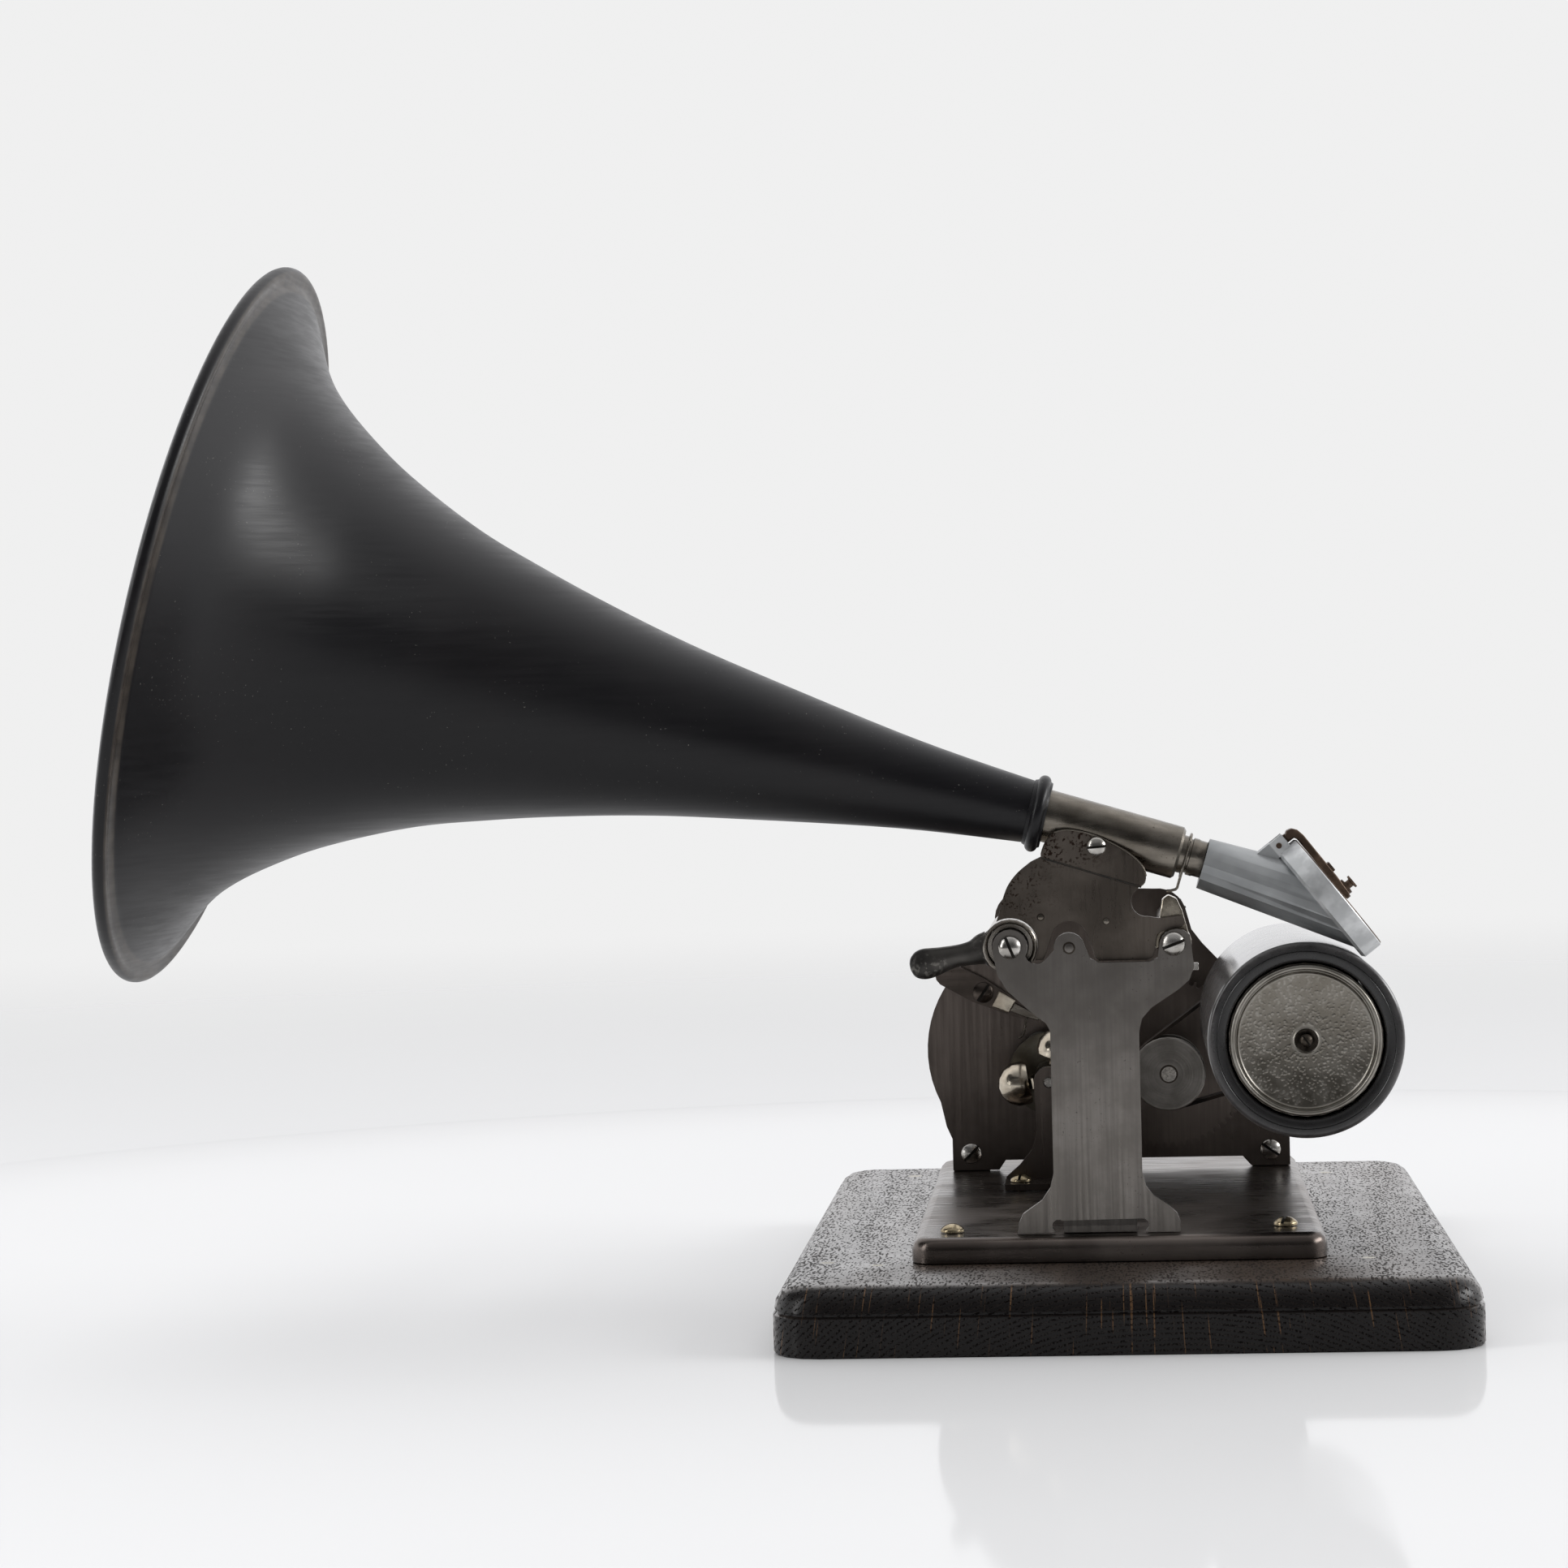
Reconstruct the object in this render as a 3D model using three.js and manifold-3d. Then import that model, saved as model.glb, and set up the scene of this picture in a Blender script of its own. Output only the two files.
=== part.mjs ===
// A cylinder phonograph of about 1900: an open spring motor on a pressed steel bed, a belt driven
// mandrel with a wax record, and a sliding carriage that holds the horn tube and the reproducer.
// Millimetres. The origin is the centre of the wooden base's underside. The front plate faces -Y,
// +X is to its right and +Z is up. Every shaft runs along Y.
import * as THREE from "three";
import { mergeVertices } from "three/addons/utils/BufferGeometryUtils.js";
import Module from "manifold-3d";

const wasm = await Module();
wasm.setup();

// ---------- driving dimensions ----------

const GAP = 0.3; // clearance between pieces that touch or run on each other
const TURN = 2 * Math.PI;

const BASE = { width: 200, depth: 299, height: 19.8, corner: 14, groove: 11.7 };
const BED = {
  left: -62, right: 58.5, front: -105, rear: 105, top: 27.4, wall: 1.6, edge: 3.5, corner: 7,
};
const BED_SCREWS = [[-50.4, -90.8], [47.1, -86.7], [-50.4, 96], [47.1, 96]];

// Faces of the upright plates along Y.
const FRONT_PLATE = { front: -98.8, thick: 2.2 };
const CARRIAGE_PLATE = { front: -94, thick: 1.8 };
const MIDDLE_PLATE = { front: 22, thick: 2 };
const REAR_PLATE = { front: 66, thick: 2 };

// Shaft centres as [x, z].
const ROD = [-31.2, 111.3]; // the guide rod that the carriage slides and tips on
const FEED = [16.3, 111.3]; // the feed screw
const MANDREL = [53.85, 82.5];
const DRIVE = [15.2, 63.8]; // the drive pulley and second wheel
const GOVERNOR = [-23.1, 60.6];
const ROD_RADIUS = 5.2;
const SHAFT_RADIUS = 2.4;
const PIVOT_RADIUS = 1.5;

// Gears: number of teeth and module. Wheels that mesh share a module.
const GREAT = { teeth: 56, module: 1.3 };
const DRIVE_PINION = { teeth: 8, module: 1.3 };
const SECOND = { teeth: 68, module: 0.8 };
const THIRD_PINION = { teeth: 8, module: 0.8 };
const THIRD = { teeth: 46, module: 0.72 };
const GOVERNOR_PINION = { teeth: 7, module: 0.72 };
const FEED_GEAR = { teeth: 15, module: 0.86 };
const IDLER = { teeth: 26, module: 0.86 };

// Where the wheels lie along Y, as [front, rear].
const RATCHET_Y = [68.6, 70.6];
const GREAT_Y = [71.6, 74.2];
const BARREL_Y = [74.6, 97];
const SECOND_Y = [50, 52.4];
const THIRD_Y = [57, 58.6];
const FEED_TRAIN_Y = [71, 74];

const PULLEY = { front: 8, rear: 20, drum: 10.6, flange: 11.7, plate: 1.2 };
const MANDREL_PULLEY = { front: 9.6, rear: 18.6, drum: 18.4, flange: 19.8 };
const BELT = { front: 10.2, rear: 18, thick: 1 };

const RECORD = { front: -98.8, rear: 8, radius: 28.5, boreFront: 22.8, boreRear: 23.8, rim: 2.6 };
const BARREL_RADIUS = 34;

const SLEEVE = { front: -95.6, rear: -38, radius: 8, bore: 6.9 };
const TUBE = { y: -85.4, radius: 7.8, bore: 6.6, tilt: 17.2, length: 42.4, inHorn: 10 };
const HORN = { seat: [-21.5, 149.6], tilt: 14.3, wall: 0.4, rim: 2.1 };
// Horn radius against distance from its small end.
const HORN_CURVE = [
  [0, 8.9], [40, 13.4], [88, 21.5], [115, 26.7], [140, 32.8], [160, 38.5], [180, 45], [200, 54],
  [215, 62.5], [231, 74], [243, 88], [254, 106.8],
];
const DISC = { centre: [62, 122.8], radius: 19.9, thick: 6.6, tilt: 52, chamber: 17.4 };

// Screws through the upright plates, as [x, z], and through the middle plate's foot, as [x, y].
const REAR_SCREWS = [[-50.2, 33.3], [48.8, 33]];
const TUBE_SCREW = [-5.3, 139.9];
const STRAP_PIVOT = [-44.8, 87];
const MIDDLE_SCREWS = [[-32.6, 13.4], [-4, 13.4]];

const NECK = { radius: 5.6, bore: 4.4, from: 36, to: 55 };
const RATCHET = { teeth: 12, tip: 9.4, root: 7.4 };

// The governor: how far out its weights sit, and where its parts lie along Y.
const WEIGHT = { reach: 9.7, radius: 7.3, y: 37 };
const COLLAR_Y = [28, 31];
const BRAKE_DISC = { front: 46, rear: 56.4, radius: 13.6 };

// ---------- geometry helpers ----------

const radians = (degrees) => (degrees * Math.PI) / 180;
const pitchRadius = (gear) => (gear.teeth * gear.module) / 2;

// A closed geometry as a solid that can be joined and cut.
function solid(geometry) {
  const plain = geometry.clone();
  plain.deleteAttribute("normal");
  plain.deleteAttribute("uv");
  const merged = mergeVertices(plain, 1e-4);
  return new wasm.Manifold(
    new wasm.Mesh({
      numProp: 3,
      vertProperties: new Float32Array(merged.attributes.position.array),
      triVerts: new Uint32Array(merged.index.array),
    }),
  );
}

function geometryOf(manifold) {
  const mesh = manifold.getMesh();
  const geometry = new THREE.BufferGeometry();
  geometry.setAttribute("position", new THREE.BufferAttribute(mesh.vertProperties, 3));
  geometry.setIndex(new THREE.BufferAttribute(mesh.triVerts, 1));
  geometry.computeVertexNormals();
  return geometry;
}

const cut = (body, ...tools) =>
  geometryOf(tools.reduce((left, tool) => left.subtract(solid(tool)), solid(body)));
const join = (...pieces) =>
  geometryOf(pieces.slice(1).reduce((whole, piece) => whole.add(solid(piece)), solid(pieces[0])));

// A flat outline in x and z, made solid from y = front over its thickness.
function slab(shape, front, thick, curveSegments = 6) {
  const geometry = new THREE.ExtrudeGeometry(shape, {
    depth: thick, bevelEnabled: false, curveSegments,
  });
  return geometry.rotateX(Math.PI / 2).translate(0, front + thick, 0);
}

// A round bar along Y between two points, at [x, z].
function bar(radius, from, to, [x, z] = [0, 0], segments = 20) {
  return new THREE.CylinderGeometry(radius, radius, to - from, segments)
    .translate(x, (from + to) / 2, z);
}

// A profile of [radius, y] points turned about the Y line through [x, z]. It starts and ends on the
// line or closes on itself, and may run either way round.
function turned(profile, [x, z] = [0, 0], segments = 20) {
  const points = profile.map(([radius, y]) => new THREE.Vector2(radius, y));
  if (THREE.ShapeUtils.area(points) < 0) points.reverse();
  return new THREE.LatheGeometry(points, segments).translate(x, 0, z);
}

function block(min, max) {
  const size = max.map((value, i) => value - min[i]);
  return new THREE.BoxGeometry(...size)
    .translate(...min.map((value, i) => value + size[i] / 2));
}

// A closed skin over rings of points, each ring with the same number of points, capped at both ends.
function skin(rings) {
  const count = rings[0].length;
  const points = rings.flat();
  const index = [];
  for (let r = 0; r + 1 < rings.length; r++) {
    for (let i = 0; i < count; i++) {
      const a = r * count + i;
      const b = r * count + ((i + 1) % count);
      index.push(a, b, b + count, a, b + count, a + count);
    }
  }
  const last = (rings.length - 1) * count;
  for (let i = 1; i + 1 < count; i++) {
    index.push(0, i + 1, i);
    index.push(last, last + i, last + i + 1);
  }
  const geometry = new THREE.BufferGeometry().setFromPoints(points);
  geometry.setIndex(index);
  geometry.computeVertexNormals();
  return geometry;
}

// A rounded rectangle of points at height z, counter-clockwise seen from above.
function roundedRing(left, right, front, rear, corner, z, steps = 4) {
  const ring = [];
  const centres = [
    [right - corner, rear - corner], [left + corner, rear - corner],
    [left + corner, front + corner], [right - corner, front + corner],
  ];
  centres.forEach(([x, y], quarter) => {
    for (let i = 0; i <= steps; i++) {
      const angle = ((quarter + i / steps) * Math.PI) / 2;
      ring.push(new THREE.Vector3(x + corner * Math.cos(angle), y + corner * Math.sin(angle), z));
    }
  });
  return ring;
}

// Points of an arc, from one angle to another in degrees.
function arc([x, z], radius, from, to, steps = 6) {
  const points = [];
  for (let i = 0; i <= steps; i++) {
    const angle = radians(from + ((to - from) * i) / steps);
    points.push([x + radius * Math.cos(angle), z + radius * Math.sin(angle)]);
  }
  return points;
}

const outline = (points) => new THREE.Shape(points.map(([x, z]) => new THREE.Vector2(x, z)));

function hole(shape, [x, z], radius, sides = 14) {
  const path = new THREE.Path();
  const points = arc([x, z], radius, 0, 360, sides).slice(0, -1);
  path.setFromPoints(points.map(([px, pz]) => new THREE.Vector2(px, pz)));
  shape.holes.push(path);
  return shape;
}

// The point at set distances from two others, on the side to the right of the line from a to b.
function meetingPoint(a, fromA, b, fromB) {
  const span = Math.hypot(b[0] - a[0], b[1] - a[1]);
  const along = (fromA ** 2 - fromB ** 2 + span ** 2) / (2 * span);
  const off = Math.sqrt(fromA ** 2 - along ** 2);
  const ux = (b[0] - a[0]) / span;
  const uz = (b[1] - a[1]) / span;
  return [a[0] + ux * along + uz * off, a[1] + uz * along - ux * off];
}

// The turn that puts a gear in mesh with another one whose own turn is known.
function meshedTurn(driver, driverTurn, driverCentre, gear, centre) {
  const heading = Math.atan2(centre[1] - driverCentre[1], centre[0] - driverCentre[0]);
  const phase = ((heading - driverTurn) * driver.teeth) / TURN;
  return heading + Math.PI - ((0.5 - phase) * TURN) / gear.teeth;
}

// The outline of a spur gear with trapezoid teeth, turned so that a tooth points at the angle.
function gearShape(gear, turn, [x, z]) {
  const radius = pitchRadius(gear);
  const tip = radius + 0.75 * gear.module;
  const root = radius - 1.1 * gear.module;
  const pitch = TURN / gear.teeth;
  const points = [];
  for (let tooth = 0; tooth < gear.teeth; tooth++) {
    const angle = turn + tooth * pitch;
    const flank = [[-0.27, root], [-0.1, tip], [0.1, tip], [0.27, root]];
    flank.forEach(([share, r]) => {
      const a = angle + share * pitch;
      points.push([x + r * Math.cos(a), z + r * Math.sin(a)]);
    });
  }
  return outline(points);
}

function wheel(gear, turn, centre, [front, rear], bore) {
  return slab(hole(gearShape(gear, turn, centre), centre, bore), front, rear - front);
}

// A round-headed slotted screw along Y: its head is towards -Y and its shank runs from under it.
function screw(head, height, shank, length, seat, centre, slotAngle = 25) {
  const dome = turned(
    [
      [0, seat + length], [shank, seat + length], [shank, seat], [head, seat],
      [head, seat - height * 0.45], [head * 0.7, seat - height], [0, seat - height],
    ],
    [0, 0],
    12,
  );
  const slot = block([-head * 1.2, seat - height - 1, -0.45], [head * 1.2, seat - height * 0.45, 0.45]);
  slot.rotateY(radians(slotAngle));
  return cut(dome, slot).translate(centre[0], 0, centre[1]);
}

// ---------- materials ----------

function finish(color, roughness, metalness) {
  return () => new THREE.MeshStandardMaterial({ color, roughness, metalness });
}
const oak = finish(0x3a2a24, 0.5, 0);
const bedSteel = finish(0x5a5654, 0.45, 0.8);
const plateSteel = finish(0x8f8a83, 0.4, 0.9);
const bronzedSteel = finish(0x4b4540, 0.45, 0.8);
const nickel = finish(0xa39c90, 0.3, 1);
const brightSteel = finish(0xb9b7b2, 0.25, 1);
const brassScrew = finish(0xb59b6a, 0.3, 1);
const darkCasting = finish(0x35322f, 0.6, 0.6);
const aluminium = finish(0xa9b1b8, 0.4, 0.9);
const wax = finish(0x1d1c1c, 0.35, 0);
const blackPaint = finish(0x141518, 0.3, 0);
const leather = finish(0x2a2322, 0.8, 0);
const brownSteel = finish(0x6b5a4a, 0.5, 0.8);
const glass = finish(0xd0d0c8, 0.2, 0);

const phonograph = new THREE.Group();

// Adds a piece to its group as a named mesh.
function add(group, name, geometry, material) {
  const mesh = new THREE.Mesh(geometry, material());
  mesh.name = name;
  group.add(mesh);
  return mesh;
}

// ---------- base and bed ----------

function woodBase() {
  const { width, depth, height, corner, groove } = BASE;
  const round = 7.2;
  const profile = [
    [0.6, 0], [0, 0.6], [0, groove - 0.6], [1, groove], [1, groove + 0.7], [0.4, groove + 0.9],
  ];
  for (let i = 0; i <= 4; i++) {
    const angle = (i / 4) * (Math.PI / 2);
    profile.push([0.4 + round * (1 - Math.cos(angle)), height - round + round * Math.sin(angle)]);
  }
  const rings = profile.map(([inset, z]) =>
    roundedRing(
      inset - width / 2, width / 2 - inset, inset - depth / 2, depth / 2 - inset, corner - inset, z,
    ),
  );
  return skin(rings);
}

function bedPlate() {
  const { left, right, front, rear, top, wall, edge, corner } = BED;
  const foot = BASE.height + GAP;
  const ring = (inset, z) =>
    roundedRing(left + inset, right - inset, front + inset, rear - inset, corner - inset, z);
  const rings = [ring(wall + edge * 0.6, top - wall), ring(wall, top - wall - edge * 0.6)];
  rings.push(ring(wall, foot), ring(0, foot));
  for (let i = 0; i <= 3; i++) {
    const angle = (i / 3) * (Math.PI / 2);
    rings.push(ring(edge * (1 - Math.cos(angle)), top - edge * (1 - Math.sin(angle))));
  }
  const lugFace = REAR_PLATE.front + REAR_PLATE.thick + GAP;
  const lugs = REAR_SCREWS.map(([x, z]) => {
    const lug = outline([
      [x - 6, top - 1], [x + 6, top - 1], ...arc([x, z], 6, 0, 180, 8),
    ]);
    return slab(hole(lug, [x, z], 1.9, 12), lugFace, 2.2);
  });
  const pan = join(skin(rings), ...lugs);
  const drilled = [...BED_SCREWS, ...MIDDLE_SCREWS].map(([x, y]) =>
    new THREE.CylinderGeometry(2.1, 2.1, 10, 12).rotateX(Math.PI / 2).translate(x, y, top),
  );
  return cut(pan, ...drilled);
}

function bedScrew([x, y]) {
  return screw(3.5, 2.4, 1.7, 5.2, 0, [0, 0], 12)
    .rotateX(-Math.PI / 2)
    .translate(x, y, BED.top + GAP);
}

function baseAssembly() {
  const group = new THREE.Group();
  add(group, "wood_base", woodBase(), oak);
  add(group, "bed_plate", bedPlate(), bedSteel);
  BED_SCREWS.forEach((place, i) => add(group, `bed_screw_${i + 1}`, bedScrew(place), brassScrew));
  REAR_SCREWS.forEach((place, i) => {
    const rearScrew = screw(3.4, 1.8, 1.6, 6.4, REAR_PLATE.front - GAP, place, 45);
    add(group, `rear_screw_${i + 1}`, rearScrew, brightSteel);
  });
  return group;
}

// ---------- upright plates ----------

// The flat nameplate-like front bearing, a T with two ears, a centre lobe and a flared foot.
function frontPlate() {
  const shape = outline([
    [-31.1, BED.top + GAP], [-30.6, 30.8], [-29.3, 33.5], [-23.7, 37.4], [-21.2, 41], [-20.2, 45],
    [-20.1, 86.8], [-21.2, 88.9], [-25.8, 92.6], [-32.2, 98.6], [-35, 103.2],
    ...arc([ROD[0], ROD[1]], 5.2, 190, 20, 8),
    ...arc([-23.6, 109.6], 3.3, 200, 300, 4),
    ...arc([-14, 110.6], 4.5, 190, 10, 9).map(([x, z]) => [x, z + 0.2]),
    [-8, 107.6], [-5.6, 106.4], [9.4, 106.3], [11.6, 107.4], ...arc([17.2, 110.6], 5.1, 160, 40, 5),
    [22.1, 104.6], [20.6, 100.8], [17.6, 98.2], [9.5, 93], [6.6, 89.8], [5.7, 86], [5.6, 45],
    [6.6, 41], [8.6, 38.4], [12.7, 35.6], [15.4, 33.1], [16.3, 30.6], [16.3, BED.top + GAP],
    [7.4, BED.top + GAP], ...arc([5.2, 29.8], 2, -60, 110, 4), [-18.4, 31.4],
    ...arc([-19, 29.8], 2, 70, 240, 4),
  ]);
  hole(shape, ROD, 2.2);
  hole(shape, FEED, 2.6);
  const plate = slab(shape, FRONT_PLATE.front, FRONT_PLATE.thick, 8);
  const back = FRONT_PLATE.front + FRONT_PLATE.thick;
  const bend = block([-17.6, FRONT_PLATE.front + 1.4, 28.4], [3.8, back, 32.6]);
  const tab = block([-17.6, back - 1, BED.top + GAP], [3.8, back + 15, BED.top + GAP + 2]);
  return join(plate, bend, tab);
}

// The inner bearing plate: a stem on a bent foot, an eye for the governor and one for the drive shaft.
function middlePlate(third) {
  const foot = BED.top + GAP;
  const shape = outline([
    [-37.6, foot], [-37.4, 30.4], [-33, 34.2], [-29, 39], [-27.2, 45],
    ...arc(GOVERNOR, 4.9, 190, 80, 6),
    [-12, 66], [6, 68], ...arc(DRIVE, 7, 120, -110, 10), [8, 54], [4.6, 48], [4.2, foot],
  ]);
  hole(shape, GOVERNOR, PIVOT_RADIUS + GAP, 12);
  hole(shape, DRIVE, SHAFT_RADIUS + GAP);
  hole(shape, third, PIVOT_RADIUS + GAP, 12);
  const web = slab(shape, MIDDLE_PLATE.front, MIDDLE_PLATE.thick);
  const flange = block(
    [-37.6, MIDDLE_PLATE.front - 15, foot], [4.2, MIDDLE_PLATE.front + 1, foot + 2],
  );
  const drilled = MIDDLE_SCREWS.map(([x, y]) =>
    new THREE.CylinderGeometry(2, 2, 8, 12).rotateX(Math.PI / 2).translate(x, y, foot),
  );
  return cut(join(web, flange), ...drilled);
}

function middleScrew([x, y]) {
  return screw(3.3, 2.2, 1.5, 4, 0, [0, 0], 80)
    .rotateX(-Math.PI / 2)
    .translate(x, y, BED.top + 2 * GAP + 2);
}

// The large rear plate: a round lobe before the spring barrel, an arch over the rod and the feed
// screw, a shoulder for the mandrel and two feet.
function rearPlate(barrel, third, idlers) {
  const foot = BED.top + GAP;
  const shape = outline([
    [-56.4, foot], [-56.4, 38.2], [-58.2, 42.4], ...arc([-25, 67.6], 38.9, 206, 136, 12),
    [-50, 99], [-46, 104.8], ...arc(ROD, 9.2, 190, 80, 8), [-22, 118.4], [0, 120.6],
    ...arc([13.6, 110.6], 9.6, 96, 20, 6), [24.6, 106.4], [28, 101.8], [32.8, 96.6],
    ...arc(MANDREL, 14, 120, -60, 10), [58.6, 62], [57, 50], [55.2, 42], [55.2, foot],
    [42.4, foot], [39.6, 30.9], [-38.8, 30.9], [-41, foot],
  ]);
  hole(shape, ROD, 3.3);
  hole(shape, FEED, SHAFT_RADIUS + GAP);
  hole(shape, MANDREL, 3.3);
  hole(shape, DRIVE, SHAFT_RADIUS + GAP);
  hole(shape, GOVERNOR, PIVOT_RADIUS + GAP, 12);
  hole(shape, third, PIVOT_RADIUS + GAP, 12);
  hole(shape, barrel, 4.3);
  hole(shape, STRAP_PIVOT, 1.9, 12);
  REAR_SCREWS.forEach((place) => hole(shape, place, 1.9, 12));
  const plate = slab(shape, REAR_PLATE.front, REAR_PLATE.thick, 8);
  const studs = idlers.map((place) => bar(2, REAR_PLATE.front + 0.5, FEED_TRAIN_Y[1] + 1, place, 14));
  return join(plate, ...studs);
}

// ---------- guide rod, feed screw and carriage ----------

function guideRod() {
  const front = FRONT_PLATE.front + FRONT_PLATE.thick + GAP;
  const shoulder = REAR_PLATE.front - GAP;
  return turned(
    [
      [0, shoulder + 5], [3, shoulder + 5], [3, shoulder], [ROD_RADIUS, shoulder],
      [ROD_RADIUS, front], [2.1, front], [2.1, front + 9], [0, front + 9],
    ],
    ROD,
  );
}

// The feed screw: a fine threaded bar with a centre for the pivot screw and its own pinion behind.
function feedScrew(turn) {
  const front = FRONT_PLATE.front + FRONT_PLATE.thick + 1;
  const shoulder = REAR_PLATE.front - GAP;
  const shaft = turned(
    [
      [0, front + 4], [1.7, front + 3.4], [1.9, front], [3.2, front], [3.4, front + 0.4],
      [3.4, shoulder], [SHAFT_RADIUS, shoulder], [SHAFT_RADIUS, FEED_TRAIN_Y[1] + 1],
      [0, FEED_TRAIN_Y[1] + 1],
    ],
    FEED,
    20,
  );
  const pinion = slab(gearShape(FEED_GEAR, turn, FEED), FEED_TRAIN_Y[0], FEED_TRAIN_Y[1] - FEED_TRAIN_Y[0]);
  return join(shaft, pinion);
}

function pivotScrew() {
  const seat = FRONT_PLATE.front - GAP;
  const head = screw(4.4, 2, 2.3, 3.2, seat, FEED, -18);
  const point = turned([[0, seat + 2.8], [1.3, seat + 2.8], [1.3, seat + 5.4], [0, seat + 6.6]], FEED, 12);
  return join(head, point);
}

function carriageSleeve() {
  return turned(
    [
      [SLEEVE.bore, SLEEVE.front + 0.4], [SLEEVE.bore + 0.4, SLEEVE.front],
      [SLEEVE.radius - 0.3, SLEEVE.front], [SLEEVE.radius, SLEEVE.front + 0.3],
      [SLEEVE.radius, SLEEVE.rear], [SLEEVE.bore, SLEEVE.rear], [SLEEVE.bore, SLEEVE.front + 0.4],
    ],
    ROD,
    22,
  );
}

function carriageBushing() {
  const inner = ROD_RADIUS + GAP;
  const outer = SLEEVE.bore - GAP;
  const front = SLEEVE.front + 3;
  const rear = SLEEVE.rear - 2;
  return turned([[inner, front], [inner, rear], [outer, rear], [outer, front], [inner, front]], ROD, 22);
}

// Where the tube's axis runs, from the horn's seat down to the reproducer.
const tubeWay = [Math.cos(radians(TUBE.tilt)), -Math.sin(radians(TUBE.tilt))];

// The upright carriage plate, with a long finger over the feed screw, an arch that clears the front
// plate's lobe, and a cradle flange along the tube.
function carriagePlate() {
  const { front, thick } = CARRIAGE_PLATE;
  const flat = outline([
    ...arc(ROD, SLEEVE.radius + GAP, 118, -30, 10),
    [-21.6, 107.2], [-19.8, 111.4],
    ...arc([-13.9, 113.2], 5.2, 170, 10, 7), [-7.2, 110.6], [-6, 106.6],
    [9, 106.6], [11, 109], [11.6, 114.4], [17.6, 115.8], ...arc([18, 117.6], 1.8, -80, 80, 4),
    [8.4, 119.4], [5.7, 120.7], [4.3, 123.4], [5.8, 126.4], [7.2, 128.3], [-21.6, 137.4],
    [-27, 134.2], [-31.4, 129.2], [-33.6, 123.6],
  ]);
  const lobe = outline([
    [-21.4, 136.4], [6.9, 127.4], [8.8, 130.4], [7.4, 134.4], [3.4, 138], [-3.5, 142.2],
    [-10.5, 144.6], [-16.4, 144.9], [-19.6, 142.6],
  ]);
  const tubeCentre = tubeAxisAt(20);
  const clearance = new THREE.CylinderGeometry(TUBE.radius + GAP, TUBE.radius + GAP, 90, 32)
    .rotateZ(Math.PI / 2)
    .rotateY(radians(TUBE.tilt))
    .translate(tubeCentre[0], TUBE.y, tubeCentre[1]);
  const drilled = bar(1.9, front - 3, front + thick + 3, TUBE_SCREW, 14);
  const whole = join(slab(flat, front, thick), slab(lobe, front - 0.4, thick));
  return cut(whole, clearance, drilled);
}

function tubeAxisAt(distance) {
  return [HORN.seat[0] + tubeWay[0] * distance, HORN.seat[1] + tubeWay[1] * distance];
}

// Lays a piece made along Y onto a tilted line in the XZ plane, from a start point.
function laidAlong(geometry, tilt, start, towardsHorn = false) {
  return geometry
    .rotateZ(towardsHorn ? Math.PI / 2 : -Math.PI / 2)
    .rotateY(radians(tilt))
    .translate(start[0], TUBE.y, start[1]);
}

function hornTube() {
  const { radius, bore, length, inHorn, tilt } = TUBE;
  const neckBore = NECK.radius + GAP;
  const profile = [
    [bore, -inHorn], [bore, length - 3.4], [neckBore, length - 3], [neckBore, length],
    [radius - 0.8, length], [radius, length - 0.8], [radius, -inHorn], [bore, -inHorn],
  ];
  const tube = laidAlong(turned(profile, [0, 0], 24), tilt, HORN.seat);
  return cut(tube, bar(1.3, -100, TUBE.y, TUBE_SCREW, 12));
}

function tubeScrew() {
  return screw(3.6, 1.7, 1.0, 2.4, CARRIAGE_PLATE.front - 0.4 - GAP, TUBE_SCREW, 0);
}

// The cast lever on the sleeve: a rounded grip and a neck that ends in a saddle on the sleeve.
function liftLever() {
  const shape = outline([
    ...arc(ROD, SLEEVE.radius + GAP, 150, 208, 6),
    [-42.8, 106.3], [-47, 105.6], [-50.6, 104.2], [-53.6, 102.4],
    ...arc([-56.3, 106.6], 4.6, -66, -236, 8),
    [-50, 112.2], [-44, 112.6], [-40.4, 114.4],
  ]);
  return slab(shape, -92.8, 5.6);
}

// The nickelled strap that hooks over the feed screw and lets its thread drive the carriage.
function halfNut() {
  const inner = 3.4 + GAP;
  const outer = inner + 1.7;
  const shape = outline([
    ...arc(FEED, inner, 200, -20, 12),
    ...arc(FEED, outer, -20, 34, 4),
    [20.4, 116], [19.2, 120.6], [17.6, 124.2], [15.2, 125.3], [13.4, 124], [12.6, 119],
    ...arc(FEED, outer, 130, 200, 5),
  ]);
  return slab(shape, CARRIAGE_PLATE.front + CARRIAGE_PLATE.thick + GAP, 6, 6);
}

// ---------- horn and reproducer ----------

function hornBell() {
  const inside = HORN_CURVE.map(([along, radius]) => [radius - HORN.wall, along]);
  const outside = HORN_CURVE.map(([along, radius]) => [radius, along]);
  const [mouth, wide] = HORN_CURVE[HORN_CURVE.length - 1];
  const bead = arc([wide + 0.6, mouth + 0.6], HORN.rim, -110, 150, 5);
  const profile = [...outside.slice(0, -1), ...bead, ...inside.slice(0, -1).reverse(), outside[0]];
  return laidAlong(turned(profile, [0, 0], 32), HORN.tilt, HORN.seat, true);
}

// The rolled bead that stiffens the horn's small end.
function hornCollar() {
  const profile = [
    [9.3, 0.4], [9.9, 0.2], [10.8, 1.2], [11, 2.6], [10.6, 4.2], [9.8, 5], [9.6, 5], [9.3, 0.4],
  ];
  return laidAlong(turned(profile, [0, 0], 20), HORN.tilt, HORN.seat, true);
}

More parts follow.
